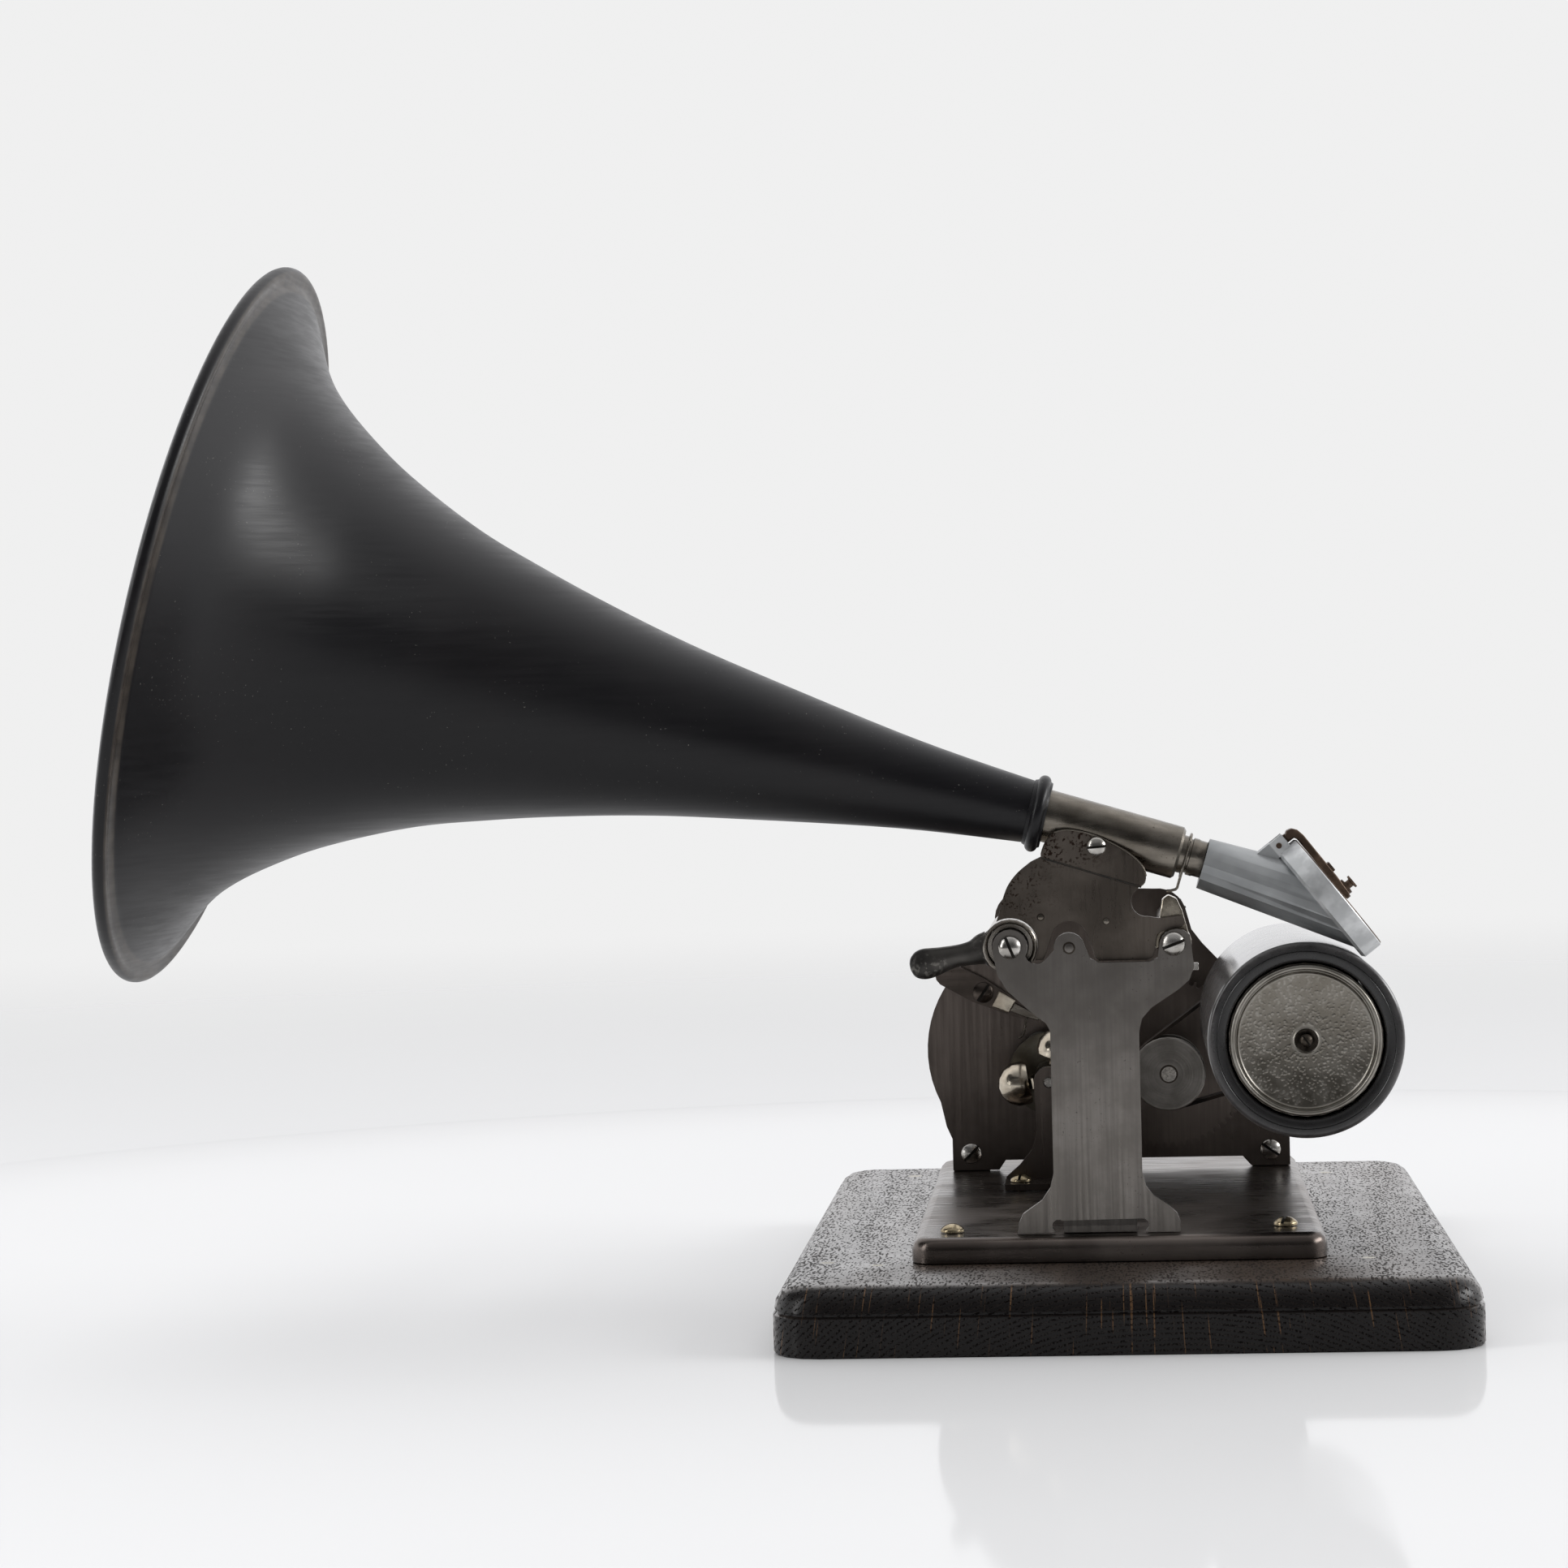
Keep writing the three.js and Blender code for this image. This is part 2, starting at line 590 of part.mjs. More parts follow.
function reproducerNeck() {
  const { radius, bore, from, to } = NECK;
  const end = TUBE.length;
  const profile = [
    [bore, from], [bore, to], [radius - 0.2, to], [radius - 0.2, end + 5], [radius, end + 4.6],
    [radius, end + 3], [radius - 0.5, end + 2.8], [radius - 0.5, end + 1.6], [radius, end + 1.4],
    [radius, from], [bore, from],
  ];
  return laidAlong(turned(profile, [0, 0], 18), TUBE.tilt, HORN.seat);
}

// The disc's own frame: x runs down its face, y along the shafts and z out of its front.
function onDisc(geometry) {
  return geometry
    .rotateY(radians(DISC.tilt))
    .translate(DISC.centre[0], TUBE.y, DISC.centre[1]);
}

function discPoint(down, side, out) {
  const point = new THREE.Vector3(down, side, out);
  point.applyAxisAngle(new THREE.Vector3(0, 1, 0), radians(DISC.tilt));
  return point.add(new THREE.Vector3(DISC.centre[0], TUBE.y, DISC.centre[1]));
}

// A ring about the disc's axis, as a Lathe profile of [radius, height out of the disc's middle].
const discTurned = (profile, segments = 28) =>
  onDisc(turned(profile, [0, 0], segments).rotateX(Math.PI / 2));

// The aluminium casting: a cone from the neck to the back of the round diaphragm housing.
function reproducerBody() {
  const steps = 20;
  const half = DISC.thick / 2;
  const start = tubeAxisAt(TUBE.length + 7);
  const neckRing = [];
  const discRing = [];
  for (let i = 0; i < steps; i++) {
    const angle = (i / steps) * TURN;
    const across = 7.5 * Math.cos(angle);
    const side = 7.5 * Math.sin(angle);
    neckRing.push(new THREE.Vector3(
      start[0] - tubeWay[1] * -across, TUBE.y + side, start[1] + tubeWay[0] * -across - 1,
    ));
    discRing.push(discPoint(17.2 * Math.cos(angle) - 0.6, 17.2 * Math.sin(angle), -half + 0.5));
  }
  const cone = skin([neckRing, discRing]);
  const housing = discTurned([
    [0, -half], [DISC.radius - 0.9, -half], [DISC.radius, -half + 0.8], [DISC.radius, half - 0.3],
    [DISC.radius - 0.3, half], [0, half],
  ]);
  const hinge = onDisc(block([-23.6, -5, -10], [-18.6, 5, 1.2]));
  const chamber = discTurned([[0, 0.6], [DISC.chamber, 0.6], [DISC.chamber, half + 1], [0, half + 1]]);
  const socket = laidAlong(bar(NECK.radius + GAP, 40, NECK.to + 0.6), TUBE.tilt, HORN.seat);
  const throatFrom = tubeAxisAt(NECK.to);
  const throat = new THREE.Vector3(throatFrom[0], TUBE.y, throatFrom[1]);
  const throatTo = discPoint(0, 0, 1);
  const passage = new THREE.CylinderGeometry(2.6, 3.6, throat.distanceTo(throatTo), 16);
  passage.applyQuaternion(new THREE.Quaternion().setFromUnitVectors(
    new THREE.Vector3(0, 1, 0), throatTo.clone().sub(throat).normalize(),
  ));
  const middle = throat.clone().lerp(throatTo, 0.5);
  passage.translate(middle.x, middle.y, middle.z);
  const slot = onDisc(block([-25, -2.2, -3.2], [-19.8, 2.2, 4]));
  return cut(join(cone, housing, hinge), chamber, socket, passage, slot);
}

function diaphragm() {
  const edge = DISC.chamber - GAP;
  return discTurned([[0, 1], [edge, 1], [edge, 1.6], [0, 1.6]]);
}

// The brown steel bar over the diaphragm: it turns on a pin in the housing's hinge block.
function stylusLever() {
  const half = DISC.thick / 2;
  const [low, high] = [half + 0.7, half + 2.1];
  const profile = [
    [-22.9, -2.6], [-20.4, -2.6], [-20.2, half + 0.2], [-19.2, low], [3.4, low], [3.4, high],
    [-18.6, high], [-21.4, half + 1.2], [-22.9, half - 1.4],
  ];
  const shape = new THREE.Shape(profile.map(([down, out]) => new THREE.Vector2(down, out)));
  const strip = new THREE.ExtrudeGeometry(shape, { depth: 3.6, bevelEnabled: false });
  strip.rotateX(Math.PI / 2).translate(0, 1.8, 0);
  const clamp = block([-8.4, -2.6, low], [-5.4, 2.6, high + 1.4]);
  return onDisc(join(strip, clamp));
}

// The stylus holder at the bar's free end, with its point.
function stylus() {
  const half = DISC.thick / 2;
  const holder = turned(
    [
      [0, half + 2.4], [2.4, half + 2.4], [2.4, half + 3.2], [1.2, half + 3.4],
      [1.2, half + 4.6], [2, half + 4.8], [2, half + 5.4], [0, half + 5.4],
    ],
    [0, 0],
    12,
  );
  return onDisc(holder.rotateX(Math.PI / 2).translate(0.4, 0, 0));
}

// ---------- spring barrel and winding ----------

function springBarrel(centre) {
  const [front, rear] = BARREL_Y;
  const wall = 1.4;
  const inner = BARREL_RADIUS - wall;
  return turned(
    [
      [4.3, rear], [4.3, rear - wall], [inner, rear - wall], [inner, front], [BARREL_RADIUS, front],
      [BARREL_RADIUS, rear - 0.6], [BARREL_RADIUS - 0.6, rear], [4.3, rear],
    ],
    centre,
    28,
  );
}

// The coiled mainspring, from the arbor's hook to the barrel's wall.
function mainspring(centre) {
  const turns = 3.5;
  const steps = 54;
  const band = 1.3;
  const from = 5.4;
  const to = BARREL_RADIUS - 3.6;
  const spiral = (offset) => {
    const points = [];
    for (let i = 0; i <= steps; i++) {
      const share = i / steps;
      const radius = from + (to - from) * share + offset;
      const angle = share * turns * TURN;
      points.push([centre[0] + radius * Math.cos(angle), centre[1] + radius * Math.sin(angle)]);
    }
    return points;
  };
  const shape = outline([...spiral(band / 2), ...spiral(-band / 2).reverse()]);
  return slab(shape, BARREL_Y[0] + 0.6, 19.4);
}

function windingArbor(centre) {
  const front = REAR_PLATE.front - 1.6;
  const shaft = turned(
    [
      [0, front], [5.4, front], [5.4, REAR_PLATE.front - GAP], [4, REAR_PLATE.front - GAP],
      [4, BARREL_Y[1] + 3], [0, BARREL_Y[1] + 3],
    ],
    centre,
    20,
  );
  const square = block(
    [centre[0] - 2.6, BARREL_Y[1] + 2, centre[1] - 2.6],
    [centre[0] + 2.6, BARREL_Y[1] + 14, centre[1] + 2.6],
  );
  return join(shaft, square);
}

function ratchetWheel(centre) {
  const points = [];
  for (let tooth = 0; tooth < RATCHET.teeth; tooth++) {
    const angle = (tooth / RATCHET.teeth) * TURN;
    const next = angle + (0.86 * TURN) / RATCHET.teeth;
    points.push([centre[0] + RATCHET.tip * Math.cos(angle), centre[1] + RATCHET.tip * Math.sin(angle)]);
    points.push([centre[0] + RATCHET.root * Math.cos(next), centre[1] + RATCHET.root * Math.sin(next)]);
  }
  const [front, rear] = RATCHET_Y;
  return slab(hole(outline(points), centre, 4.3), front, rear - front);
}

// The click that holds the ratchet: a short arm whose nose lies just outside the teeth.
function ratchetPawl(pivot, centre) {
  const reach = Math.hypot(pivot[0] - centre[0], pivot[1] - centre[1]) - RATCHET.tip - 0.4;
  const shape = outline([
    ...arc([0, 0], 3.2, 60, 300, 8), [reach, -0.7], [reach, 0.5],
  ]);
  const arm = slab(hole(shape, [0, 0], 1.3, 10), 0, RATCHET_Y[1] - RATCHET_Y[0]);
  const heading = Math.atan2(centre[1] - pivot[1], centre[0] - pivot[0]);
  return arm.rotateY(-heading).translate(pivot[0], RATCHET_Y[0], pivot[1]);
}

// The key on the arbor's square end, with two rounded wings.
function windingKey(centre) {
  const front = BARREL_Y[1] + 4.4;
  const boss = bar(5.6, front, front + 9, centre, 20);
  const socket = block(
    [centre[0] - 2.9, front - 1, centre[1] - 2.9], [centre[0] + 2.9, front + 10, centre[1] + 2.9],
  );
  const wing = new THREE.Shape();
  const reach = 21;
  wing.setFromPoints([
    ...arc([reach, 0], 8, -120, 120, 8), ...arc([-reach, 0], 8, 60, 300, 8),
  ].map(([x, z]) => new THREE.Vector2(x, z)));
  const wings = slab(wing, front + 3, 3, 8).translate(centre[0], 0, centre[1]);
  return cut(join(boss, wings), socket);
}

// ---------- drive train ----------

function driveShaft(turn) {
  const [front, rear] = [PULLEY.front, GREAT_Y[1] + 1.4];
  const shaft = bar(SHAFT_RADIUS, front - 0.8, rear, DRIVE, 18);
  const pinion = slab(gearShape(DRIVE_PINION, turn, DRIVE), GREAT_Y[0] - 0.6, GREAT_Y[1] - GREAT_Y[0] + 1.2);
  return join(shaft, pinion);
}

function drivePulley() {
  const { front, rear, drum, flange, plate } = PULLEY;
  const bore = SHAFT_RADIUS + 0.1;
  return turned(
    [
      [bore, front], [bore, rear], [flange, rear], [flange, rear - plate], [drum, rear - plate],
      [drum, front + plate], [flange, front + plate], [flange, front + 0.3], [flange - 0.3, front],
      [bore, front],
    ],
    DRIVE,
    30,
  );
}

function secondWheel(turn) {
  const shape = hole(gearShape(SECOND, turn, DRIVE), DRIVE, SHAFT_RADIUS + 0.1);
  return slab(shape, SECOND_Y[0], SECOND_Y[1] - SECOND_Y[0]);
}

function thirdShaft(centre, turn) {
  const from = MIDDLE_PLATE.front - 0.6;
  const to = REAR_PLATE.front + REAR_PLATE.thick + 0.4;
  const pinion = slab(gearShape(THIRD_PINION, turn, centre), SECOND_Y[0] - 1, SECOND_Y[1] - SECOND_Y[0] + 2);
  return join(bar(PIVOT_RADIUS, from, to, centre, 12), pinion);
}

function thirdWheel(centre, turn) {
  const shape = hole(gearShape(THIRD, turn, centre), centre, PIVOT_RADIUS + 0.1, 12);
  return slab(shape, THIRD_Y[0], THIRD_Y[1] - THIRD_Y[0]);
}

// The belt: two straight runs and two arcs, one round each pulley's drum.
function driveBelt() {
  const heading = Math.atan2(MANDREL[1] - DRIVE[1], MANDREL[0] - DRIVE[0]);
  const span = Math.hypot(MANDREL[0] - DRIVE[0], MANDREL[1] - DRIVE[1]);
  const slack = 0.25;
  const loop = (extra) => {
    const small = PULLEY.drum + slack + extra;
    const large = MANDREL_PULLEY.drum + slack + extra;
    const lean = Math.asin((large - small) / span);
    const degrees = (angle) => (angle * 180) / Math.PI;
    const side = degrees(heading) + 90 + degrees(lean);
    const otherSide = degrees(heading) - 90 - degrees(lean);
    return [
      ...arc(MANDREL, large, otherSide, side, 22), ...arc(DRIVE, small, side, otherSide + 360, 14),
    ];
  };
  const shape = outline(loop(BELT.thick));
  const inner = new THREE.Path();
  inner.setFromPoints(loop(0).map(([x, z]) => new THREE.Vector2(x, z)));
  shape.holes.push(inner);
  return slab(shape, BELT.front, BELT.rear - BELT.front);
}

// ---------- governor ----------

function governorShaft(turn) {
  const from = MIDDLE_PLATE.front - 0.6;
  const to = REAR_PLATE.front + REAR_PLATE.thick + 0.4;
  const shaft = bar(PIVOT_RADIUS, from, to, GOVERNOR, 12);
  const collar = bar(4.6, COLLAR_Y[0], COLLAR_Y[1], GOVERNOR, 18);
  const teeth = gearShape(GOVERNOR_PINION, turn, GOVERNOR);
  const pinion = slab(teeth, THIRD_Y[0] - 0.4, THIRD_Y[1] - THIRD_Y[0] + 4);
  return join(shaft, collar, pinion);
}

// A weight: a brass dome on the outside of its flat spring, which bows from collar to disc.
function governorWeight(angle) {
  const dome = new THREE.SphereGeometry(WEIGHT.radius, 14, 8);
  const keep = block([-3, -10, -10], [12, 10, 10]);
  const weight = geometryOf(solid(dome).intersect(solid(keep)));
  const inner = WEIGHT.reach - 3.6;
  const spring = new THREE.Shape();
  const yOf = (y) => y - WEIGHT.y;
  const points = [
    [5, yOf(COLLAR_Y[0] + 0.2)], [5, yOf(COLLAR_Y[1])], [inner - 0.2, -3],
    [inner - 0.2, 3], [5, yOf(BRAKE_DISC.front - 0.6)], [5.6, yOf(BRAKE_DISC.front - 0.6)],
    [inner + 1, 3], [inner + 1, -3], [5.6, yOf(COLLAR_Y[0] + 0.2)],
  ];
  spring.setFromPoints(points.map(([r, y]) => new THREE.Vector2(r, y)));
  const leaf = new THREE.ExtrudeGeometry(spring, { depth: 3.4, bevelEnabled: false }).translate(0, 0, -1.7);
  const whole = join(weight.translate(WEIGHT.reach, 0, 0), leaf);
  return whole.rotateY(-radians(angle)).translate(GOVERNOR[0], WEIGHT.y, GOVERNOR[1]);
}

function governorDisc() {
  const bore = PIVOT_RADIUS + GAP;
  const { front, rear, radius } = BRAKE_DISC;
  return turned(
    [
      [bore, front], [4.6, front], [4.6, rear - 1.8], [radius, rear - 1.8], [radius, rear - 0.6],
      [4, rear - 0.6], [4, rear], [bore, rear], [bore, front],
    ],
    GOVERNOR,
    24,
  );
}

// The speed strap on the rear plate: it bears on the governor's disc through a leaf at its end.
function speedStrap() {
  const shape = outline([
    [-2, -4.4], [13.6, -2.4], [17, -1.4], [17, 1.4], [13.6, 2.6], [-2, 4.4],
    ...arc([-13.4, 0], 4.1, 92, 262, 6),
  ]);
  const strap = slab(hole(shape, [0, 0], 1.7, 12), REAR_PLATE.front - 2.2, 1.6);
  return strap.rotateY(radians(28)).translate(STRAP_PIVOT[0], 0, STRAP_PIVOT[1]);
}

// ---------- mandrel and record ----------

function mandrelBody() {
  const front = RECORD.front + 2.2;
  const rear = RECORD.rear - 2;
  const wall = 1.2;
  const [small, large] = [RECORD.boreFront - 0.5, RECORD.boreRear - 0.5];
  return turned(
    [
      [small - wall, front], [small, front], [large, rear], [3.1, rear], [3.1, rear - 3],
      [large - wall, rear - 3], [small - wall, front],
    ],
    MANDREL,
    30,
  );
}

function mandrelCap() {
  const front = RECORD.front - 0.6;
  const radius = RECORD.boreFront - 0.7;
  return turned(
    [
      [1.9, front + 1.2], [4.6, front + 0.6], [5.2, front + 1.1], [radius - 2.6, front + 1],
      [radius - 1.8, front + 0.2], [radius - 0.6, front], [radius, front + 0.6], [radius, front + 2.4],
      [1.9, front + 2.4], [1.9, front + 1.2],
    ],
    MANDREL,
    30,
  );
}

function mandrelShaft(turn) {
  const front = RECORD.front + 2.4;
  const rear = FEED_TRAIN_Y[1] + 1;
  const shaft = turned(
    [[0, front + 9], [1.9, front + 9], [1.9, front], [3, front], [3, rear], [0, rear]],
    MANDREL,
    18,
  );
  const teeth = gearShape(FEED_GEAR, turn, MANDREL);
  const pinion = slab(teeth, FEED_TRAIN_Y[0], FEED_TRAIN_Y[1] - FEED_TRAIN_Y[0]);
  return join(shaft, pinion);
}

function mandrelPulley() {
  const { front, rear, drum, flange } = MANDREL_PULLEY;
  const edge = 0.5;
  return turned(
    [
      [3.1, front], [flange, front], [flange, front + edge], [drum, front + edge],
      [drum, rear - edge], [flange, rear - edge], [flange, rear], [3.1, rear], [3.1, front],
    ],
    MANDREL,
    30,
  );
}

function mandrelBearing() {
  const front = MANDREL_PULLEY.rear + 1;
  const rear = REAR_PLATE.front - GAP;
  return turned(
    [
      [3.3, front], [6, front], [6, rear - 4], [10, rear - 3], [10, rear], [3.3, rear], [3.3, front],
    ],
    MANDREL,
    18,
  );
}

function record() {
  const { front, rear, radius, boreFront, boreRear, rim } = RECORD;
  return turned(
    [
      [boreFront, front + 1], [boreFront + 0.8, front + 0.2], [boreFront + 1.4, front],
      [radius - 2, front], [radius - 0.4, front + 0.7], [radius, front + rim], [radius, rear - 1],
      [radius - 1, rear], [boreRear, rear], [boreFront, front + 1],
    ],
    MANDREL,
    40,
  );
}

// ---------- the whole machine ----------

const barrelReach = pitchRadius(GREAT) + pitchRadius(DRIVE_PINION);
const BARREL = arc(DRIVE, barrelReach, 174, 174, 1)[0];
const THIRD_CENTRE = meetingPoint(
  GOVERNOR, pitchRadius(THIRD) + pitchRadius(GOVERNOR_PINION),
  DRIVE, pitchRadius(SECOND) + pitchRadius(THIRD_PINION),
);
const idlerReach = pitchRadius(IDLER) + pitchRadius(FEED_GEAR);
const UPPER_IDLER = arc(FEED, idlerReach, -85, -85, 1)[0];
const LOWER_IDLER = meetingPoint(UPPER_IDLER, 2 * pitchRadius(IDLER), MANDREL, idlerReach);
const PAWL_PIVOT = [BARREL[0] + 4, BARREL[1] + 21];

// Each wheel's turn, worked out from the wheel that drives it.
const greatTurn = 0;
const drivePinionTurn = meshedTurn(GREAT, greatTurn, BARREL, DRIVE_PINION, DRIVE);
const secondTurn = 0;
const thirdPinionTurn = meshedTurn(SECOND, secondTurn, DRIVE, THIRD_PINION, THIRD_CENTRE);
const thirdTurn = 0;
const governorPinionTurn = meshedTurn(THIRD, thirdTurn, THIRD_CENTRE, GOVERNOR_PINION, GOVERNOR);
const mandrelPinionTurn = 0;
const lowerTurn = meshedTurn(FEED_GEAR, mandrelPinionTurn, MANDREL, IDLER, LOWER_IDLER);
const upperTurn = meshedTurn(IDLER, lowerTurn, LOWER_IDLER, IDLER, UPPER_IDLER);
const feedTurn = meshedTurn(IDLER, upperTurn, UPPER_IDLER, FEED_GEAR, FEED);

function plateAssembly() {
  const group = new THREE.Group();
  add(group, "front_plate", frontPlate(), plateSteel);
  add(group, "middle_plate", middlePlate(THIRD_CENTRE), bronzedSteel);
  MIDDLE_SCREWS.forEach((place, i) =>
    add(group, `middle_screw_${i + 1}`, middleScrew(place), brassScrew),
  );
  add(group, "rear_plate", rearPlate(BARREL, THIRD_CENTRE, [LOWER_IDLER, UPPER_IDLER]), bronzedSteel);
  add(group, "guide_rod", guideRod(), brightSteel);
  const rodScrew = screw(4.3, 2, 1.7, 7, FRONT_PLATE.front - GAP, ROD, 75);
  add(group, "guide_rod_screw", rodScrew, brightSteel);
  add(group, "feed_pivot_screw", pivotScrew(), brightSteel);
  add(group, "mandrel_bearing", mandrelBearing(), darkCasting);
  return group;
}

function carriageAssembly() {
  const group = new THREE.Group();
  add(group, "carriage_bushing", carriageBushing(), nickel);
  add(group, "carriage_sleeve", carriageSleeve(), nickel);
  add(group, "carriage_plate", carriagePlate(), plateSteel);
  add(group, "tube_screw", tubeScrew(), brightSteel);
  add(group, "horn_tube", hornTube(), nickel);
  add(group, "lift_lever", liftLever(), darkCasting);
  add(group, "half_nut", halfNut(), brightSteel);
  return group;
}

function soundAssembly() {
  const group = new THREE.Group();
  add(group, "horn_bell", hornBell(), blackPaint);
  add(group, "horn_collar", hornCollar(), blackPaint);
  add(group, "reproducer_neck", reproducerNeck(), nickel);
  add(group, "reproducer_body", reproducerBody(), aluminium);
  add(group, "diaphragm", diaphragm(), glass);
  add(group, "stylus_lever", stylusLever(), brownSteel);
  add(group, "stylus", stylus(), brownSteel);
  return group;
}

function windingAssembly() {
  const group = new THREE.Group();
  add(group, "great_wheel", wheel(GREAT, greatTurn, BARREL, GREAT_Y, 4.3), nickel);
  add(group, "spring_barrel", springBarrel(BARREL), bronzedSteel);
  add(group, "mainspring", mainspring(BARREL), brownSteel);
  add(group, "winding_arbor", windingArbor(BARREL), brightSteel);
  add(group, "ratchet_wheel", ratchetWheel(BARREL), brightSteel);
  add(group, "ratchet_pawl", ratchetPawl(PAWL_PIVOT, BARREL), brightSteel);
  add(group, "winding_key", windingKey(BARREL), nickel);
  return group;
}

function trainAssembly() {
  const group = new THREE.Group();
  add(group, "drive_shaft", driveShaft(drivePinionTurn), brightSteel);
  add(group, "second_wheel", secondWheel(secondTurn), bronzedSteel);
  add(group, "drive_pulley", drivePulley(), plateSteel);
  add(group, "belt", driveBelt(), leather);
  add(group, "third_shaft", thirdShaft(THIRD_CENTRE, thirdPinionTurn), brightSteel);
  add(group, "third_wheel", thirdWheel(THIRD_CENTRE, thirdTurn), brassScrew);
  add(group, "governor_shaft", governorShaft(governorPinionTurn), brightSteel);
  [190, 70, -50].forEach((angle, i) =>
    add(group, `governor_weight_${i + 1}`, governorWeight(angle), nickel),
  );
  add(group, "governor_disc", governorDisc(), brightSteel);
  add(group, "speed_strap", speedStrap(), bronzedSteel);
  const strapScrew = screw(3.4, 1.6, 1.4, 3.4, REAR_PLATE.front - 2.2 - GAP, STRAP_PIVOT, 50);
  add(group, "strap_screw", strapScrew, brightSteel);
  return group;
}

function mandrelAssembly() {
  const group = new THREE.Group();
  add(group, "mandrel", mandrelBody(), nickel);
  add(group, "mandrel_cap", mandrelCap(), nickel);
  const capScrew = screw(3.8, 1.4, 1.5, 6.5, RECORD.front + 0.1 - GAP, MANDREL, 30);
  add(group, "mandrel_screw", capScrew, brightSteel);
  add(group, "mandrel_shaft", mandrelShaft(mandrelPinionTurn), brightSteel);
  add(group, "mandrel_pulley", mandrelPulley(), plateSteel);
  add(group, "record", record(), wax);
  add(group, "feed_screw", feedScrew(feedTurn), brightSteel);
  const bore = 2 + GAP;
  const idlers = [[LOWER_IDLER, lowerTurn], [UPPER_IDLER, upperTurn]];
  idlers.forEach(([centre, turn], i) =>
    add(group, `feed_idler_${i + 1}`, wheel(IDLER, turn, centre, FEED_TRAIN_Y, bore), brassScrew),
  );
  return group;
}

phonograph.add(
  baseAssembly(), plateAssembly(), carriageAssembly(), soundAssembly(), windingAssembly(),
  trainAssembly(), mandrelAssembly(),
);

export default phonograph;
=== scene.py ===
import math

import bmesh
import bpy
from mathutils import Matrix, Vector


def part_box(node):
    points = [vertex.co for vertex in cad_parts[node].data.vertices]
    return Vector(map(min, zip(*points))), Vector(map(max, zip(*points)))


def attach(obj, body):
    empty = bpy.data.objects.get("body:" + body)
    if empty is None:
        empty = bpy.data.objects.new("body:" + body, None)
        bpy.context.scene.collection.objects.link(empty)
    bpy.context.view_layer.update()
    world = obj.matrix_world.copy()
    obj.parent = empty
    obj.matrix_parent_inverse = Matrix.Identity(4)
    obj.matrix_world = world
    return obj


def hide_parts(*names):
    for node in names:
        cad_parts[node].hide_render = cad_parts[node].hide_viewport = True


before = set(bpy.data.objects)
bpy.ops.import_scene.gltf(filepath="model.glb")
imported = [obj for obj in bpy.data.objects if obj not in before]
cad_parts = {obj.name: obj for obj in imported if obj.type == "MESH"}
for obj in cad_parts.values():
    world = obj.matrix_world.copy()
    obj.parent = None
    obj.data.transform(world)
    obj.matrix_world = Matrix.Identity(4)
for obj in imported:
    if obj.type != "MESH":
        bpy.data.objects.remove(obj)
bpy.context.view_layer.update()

MM = 0.001
SCENE = bpy.context.scene

# Places in the row frame, in millimetres, with the ways that the tilted pieces point.
ALONG_Y = (0, 1, 0)
MANDREL = (53.85, 0, 82.5)
DRIVE_SHAFT = (15.2, 0, 63.8)
GUIDE_ROD = (-31.2, 0, 111.3)
GOVERNOR = (-23.1, 0, 60.6)
HORN_SEAT = (-21.5, -85.4, 149.6)
HORN_TILT = math.radians(14.3)
HORN_WAY = (-math.cos(HORN_TILT), 0, math.sin(HORN_TILT))
TUBE_TILT = math.radians(17.2)
TUBE_WAY = Vector((math.cos(TUBE_TILT), 0, -math.sin(TUBE_TILT)))
DISC_CENTRE = (62, -85.4, 122.8)
DISC_TILT = math.radians(52)
DISC_OUT = (math.sin(DISC_TILT), 0, math.cos(DISC_TILT))
DISC_DOWN = Vector((math.cos(DISC_TILT), 0, -math.sin(DISC_TILT)))
# The y of the front plate's and the drive pulley's faces.
FRONT_PLATE_FACE = -98.8
PULLEY_FACE = 8.0
# The y of the carriage sheet's front, the sheet's thickness, and how far the lobe stands out of it.
CARRIAGE_FACE = -94.0
CARRIAGE_SHEET = 1.8
LOBE_PROUD = 0.4
# Filled holes in the base's top: across, back, and radius.
PLUGS = ((-87, -96, 2.6), (-72, -103, 2.4), (-72, 120, 3.0), (69, 110, 2.6), (70, -102.5, 2.4))

# Where finishes change, in metres: along the horn from its seat (the rim's lip, which is worn and
# carries a painted highlight, then the groove before it), out from the mandrel's axis (the record's
# outside, then the cap's pebbled field), and out of the reproducer's disc (where a painted
# reflection lightens the housing).
HORN_LIP = (0.2528, 0.2535)
HORN_GROOVE = ((0.2489, 0.2494), (0.2504, 0.2499))
RECORD_OUTSIDE = (0.0276, 0.0284)
CAP_FIELD = ((0.0042, 0.0048), (0.0194, 0.0188))
DISC_FACE = (-0.0036, -0.0031)
# The record's groove pitch, in metres.
GROOVE_PITCH = 0.00025

# Faces that meet at more than this many degrees keep a sharp edge between them.
SHARP_FROM = 38


def in_metres(point):
    return [c * MM for c in point]


# ---------- camera ----------

LENS_MM = 91.15
CAMERA_AT = Vector((0.37, -1255.18, 179.19)) * MM
YAW, PITCH, ROLL = 0.083, 0.016, -0.027


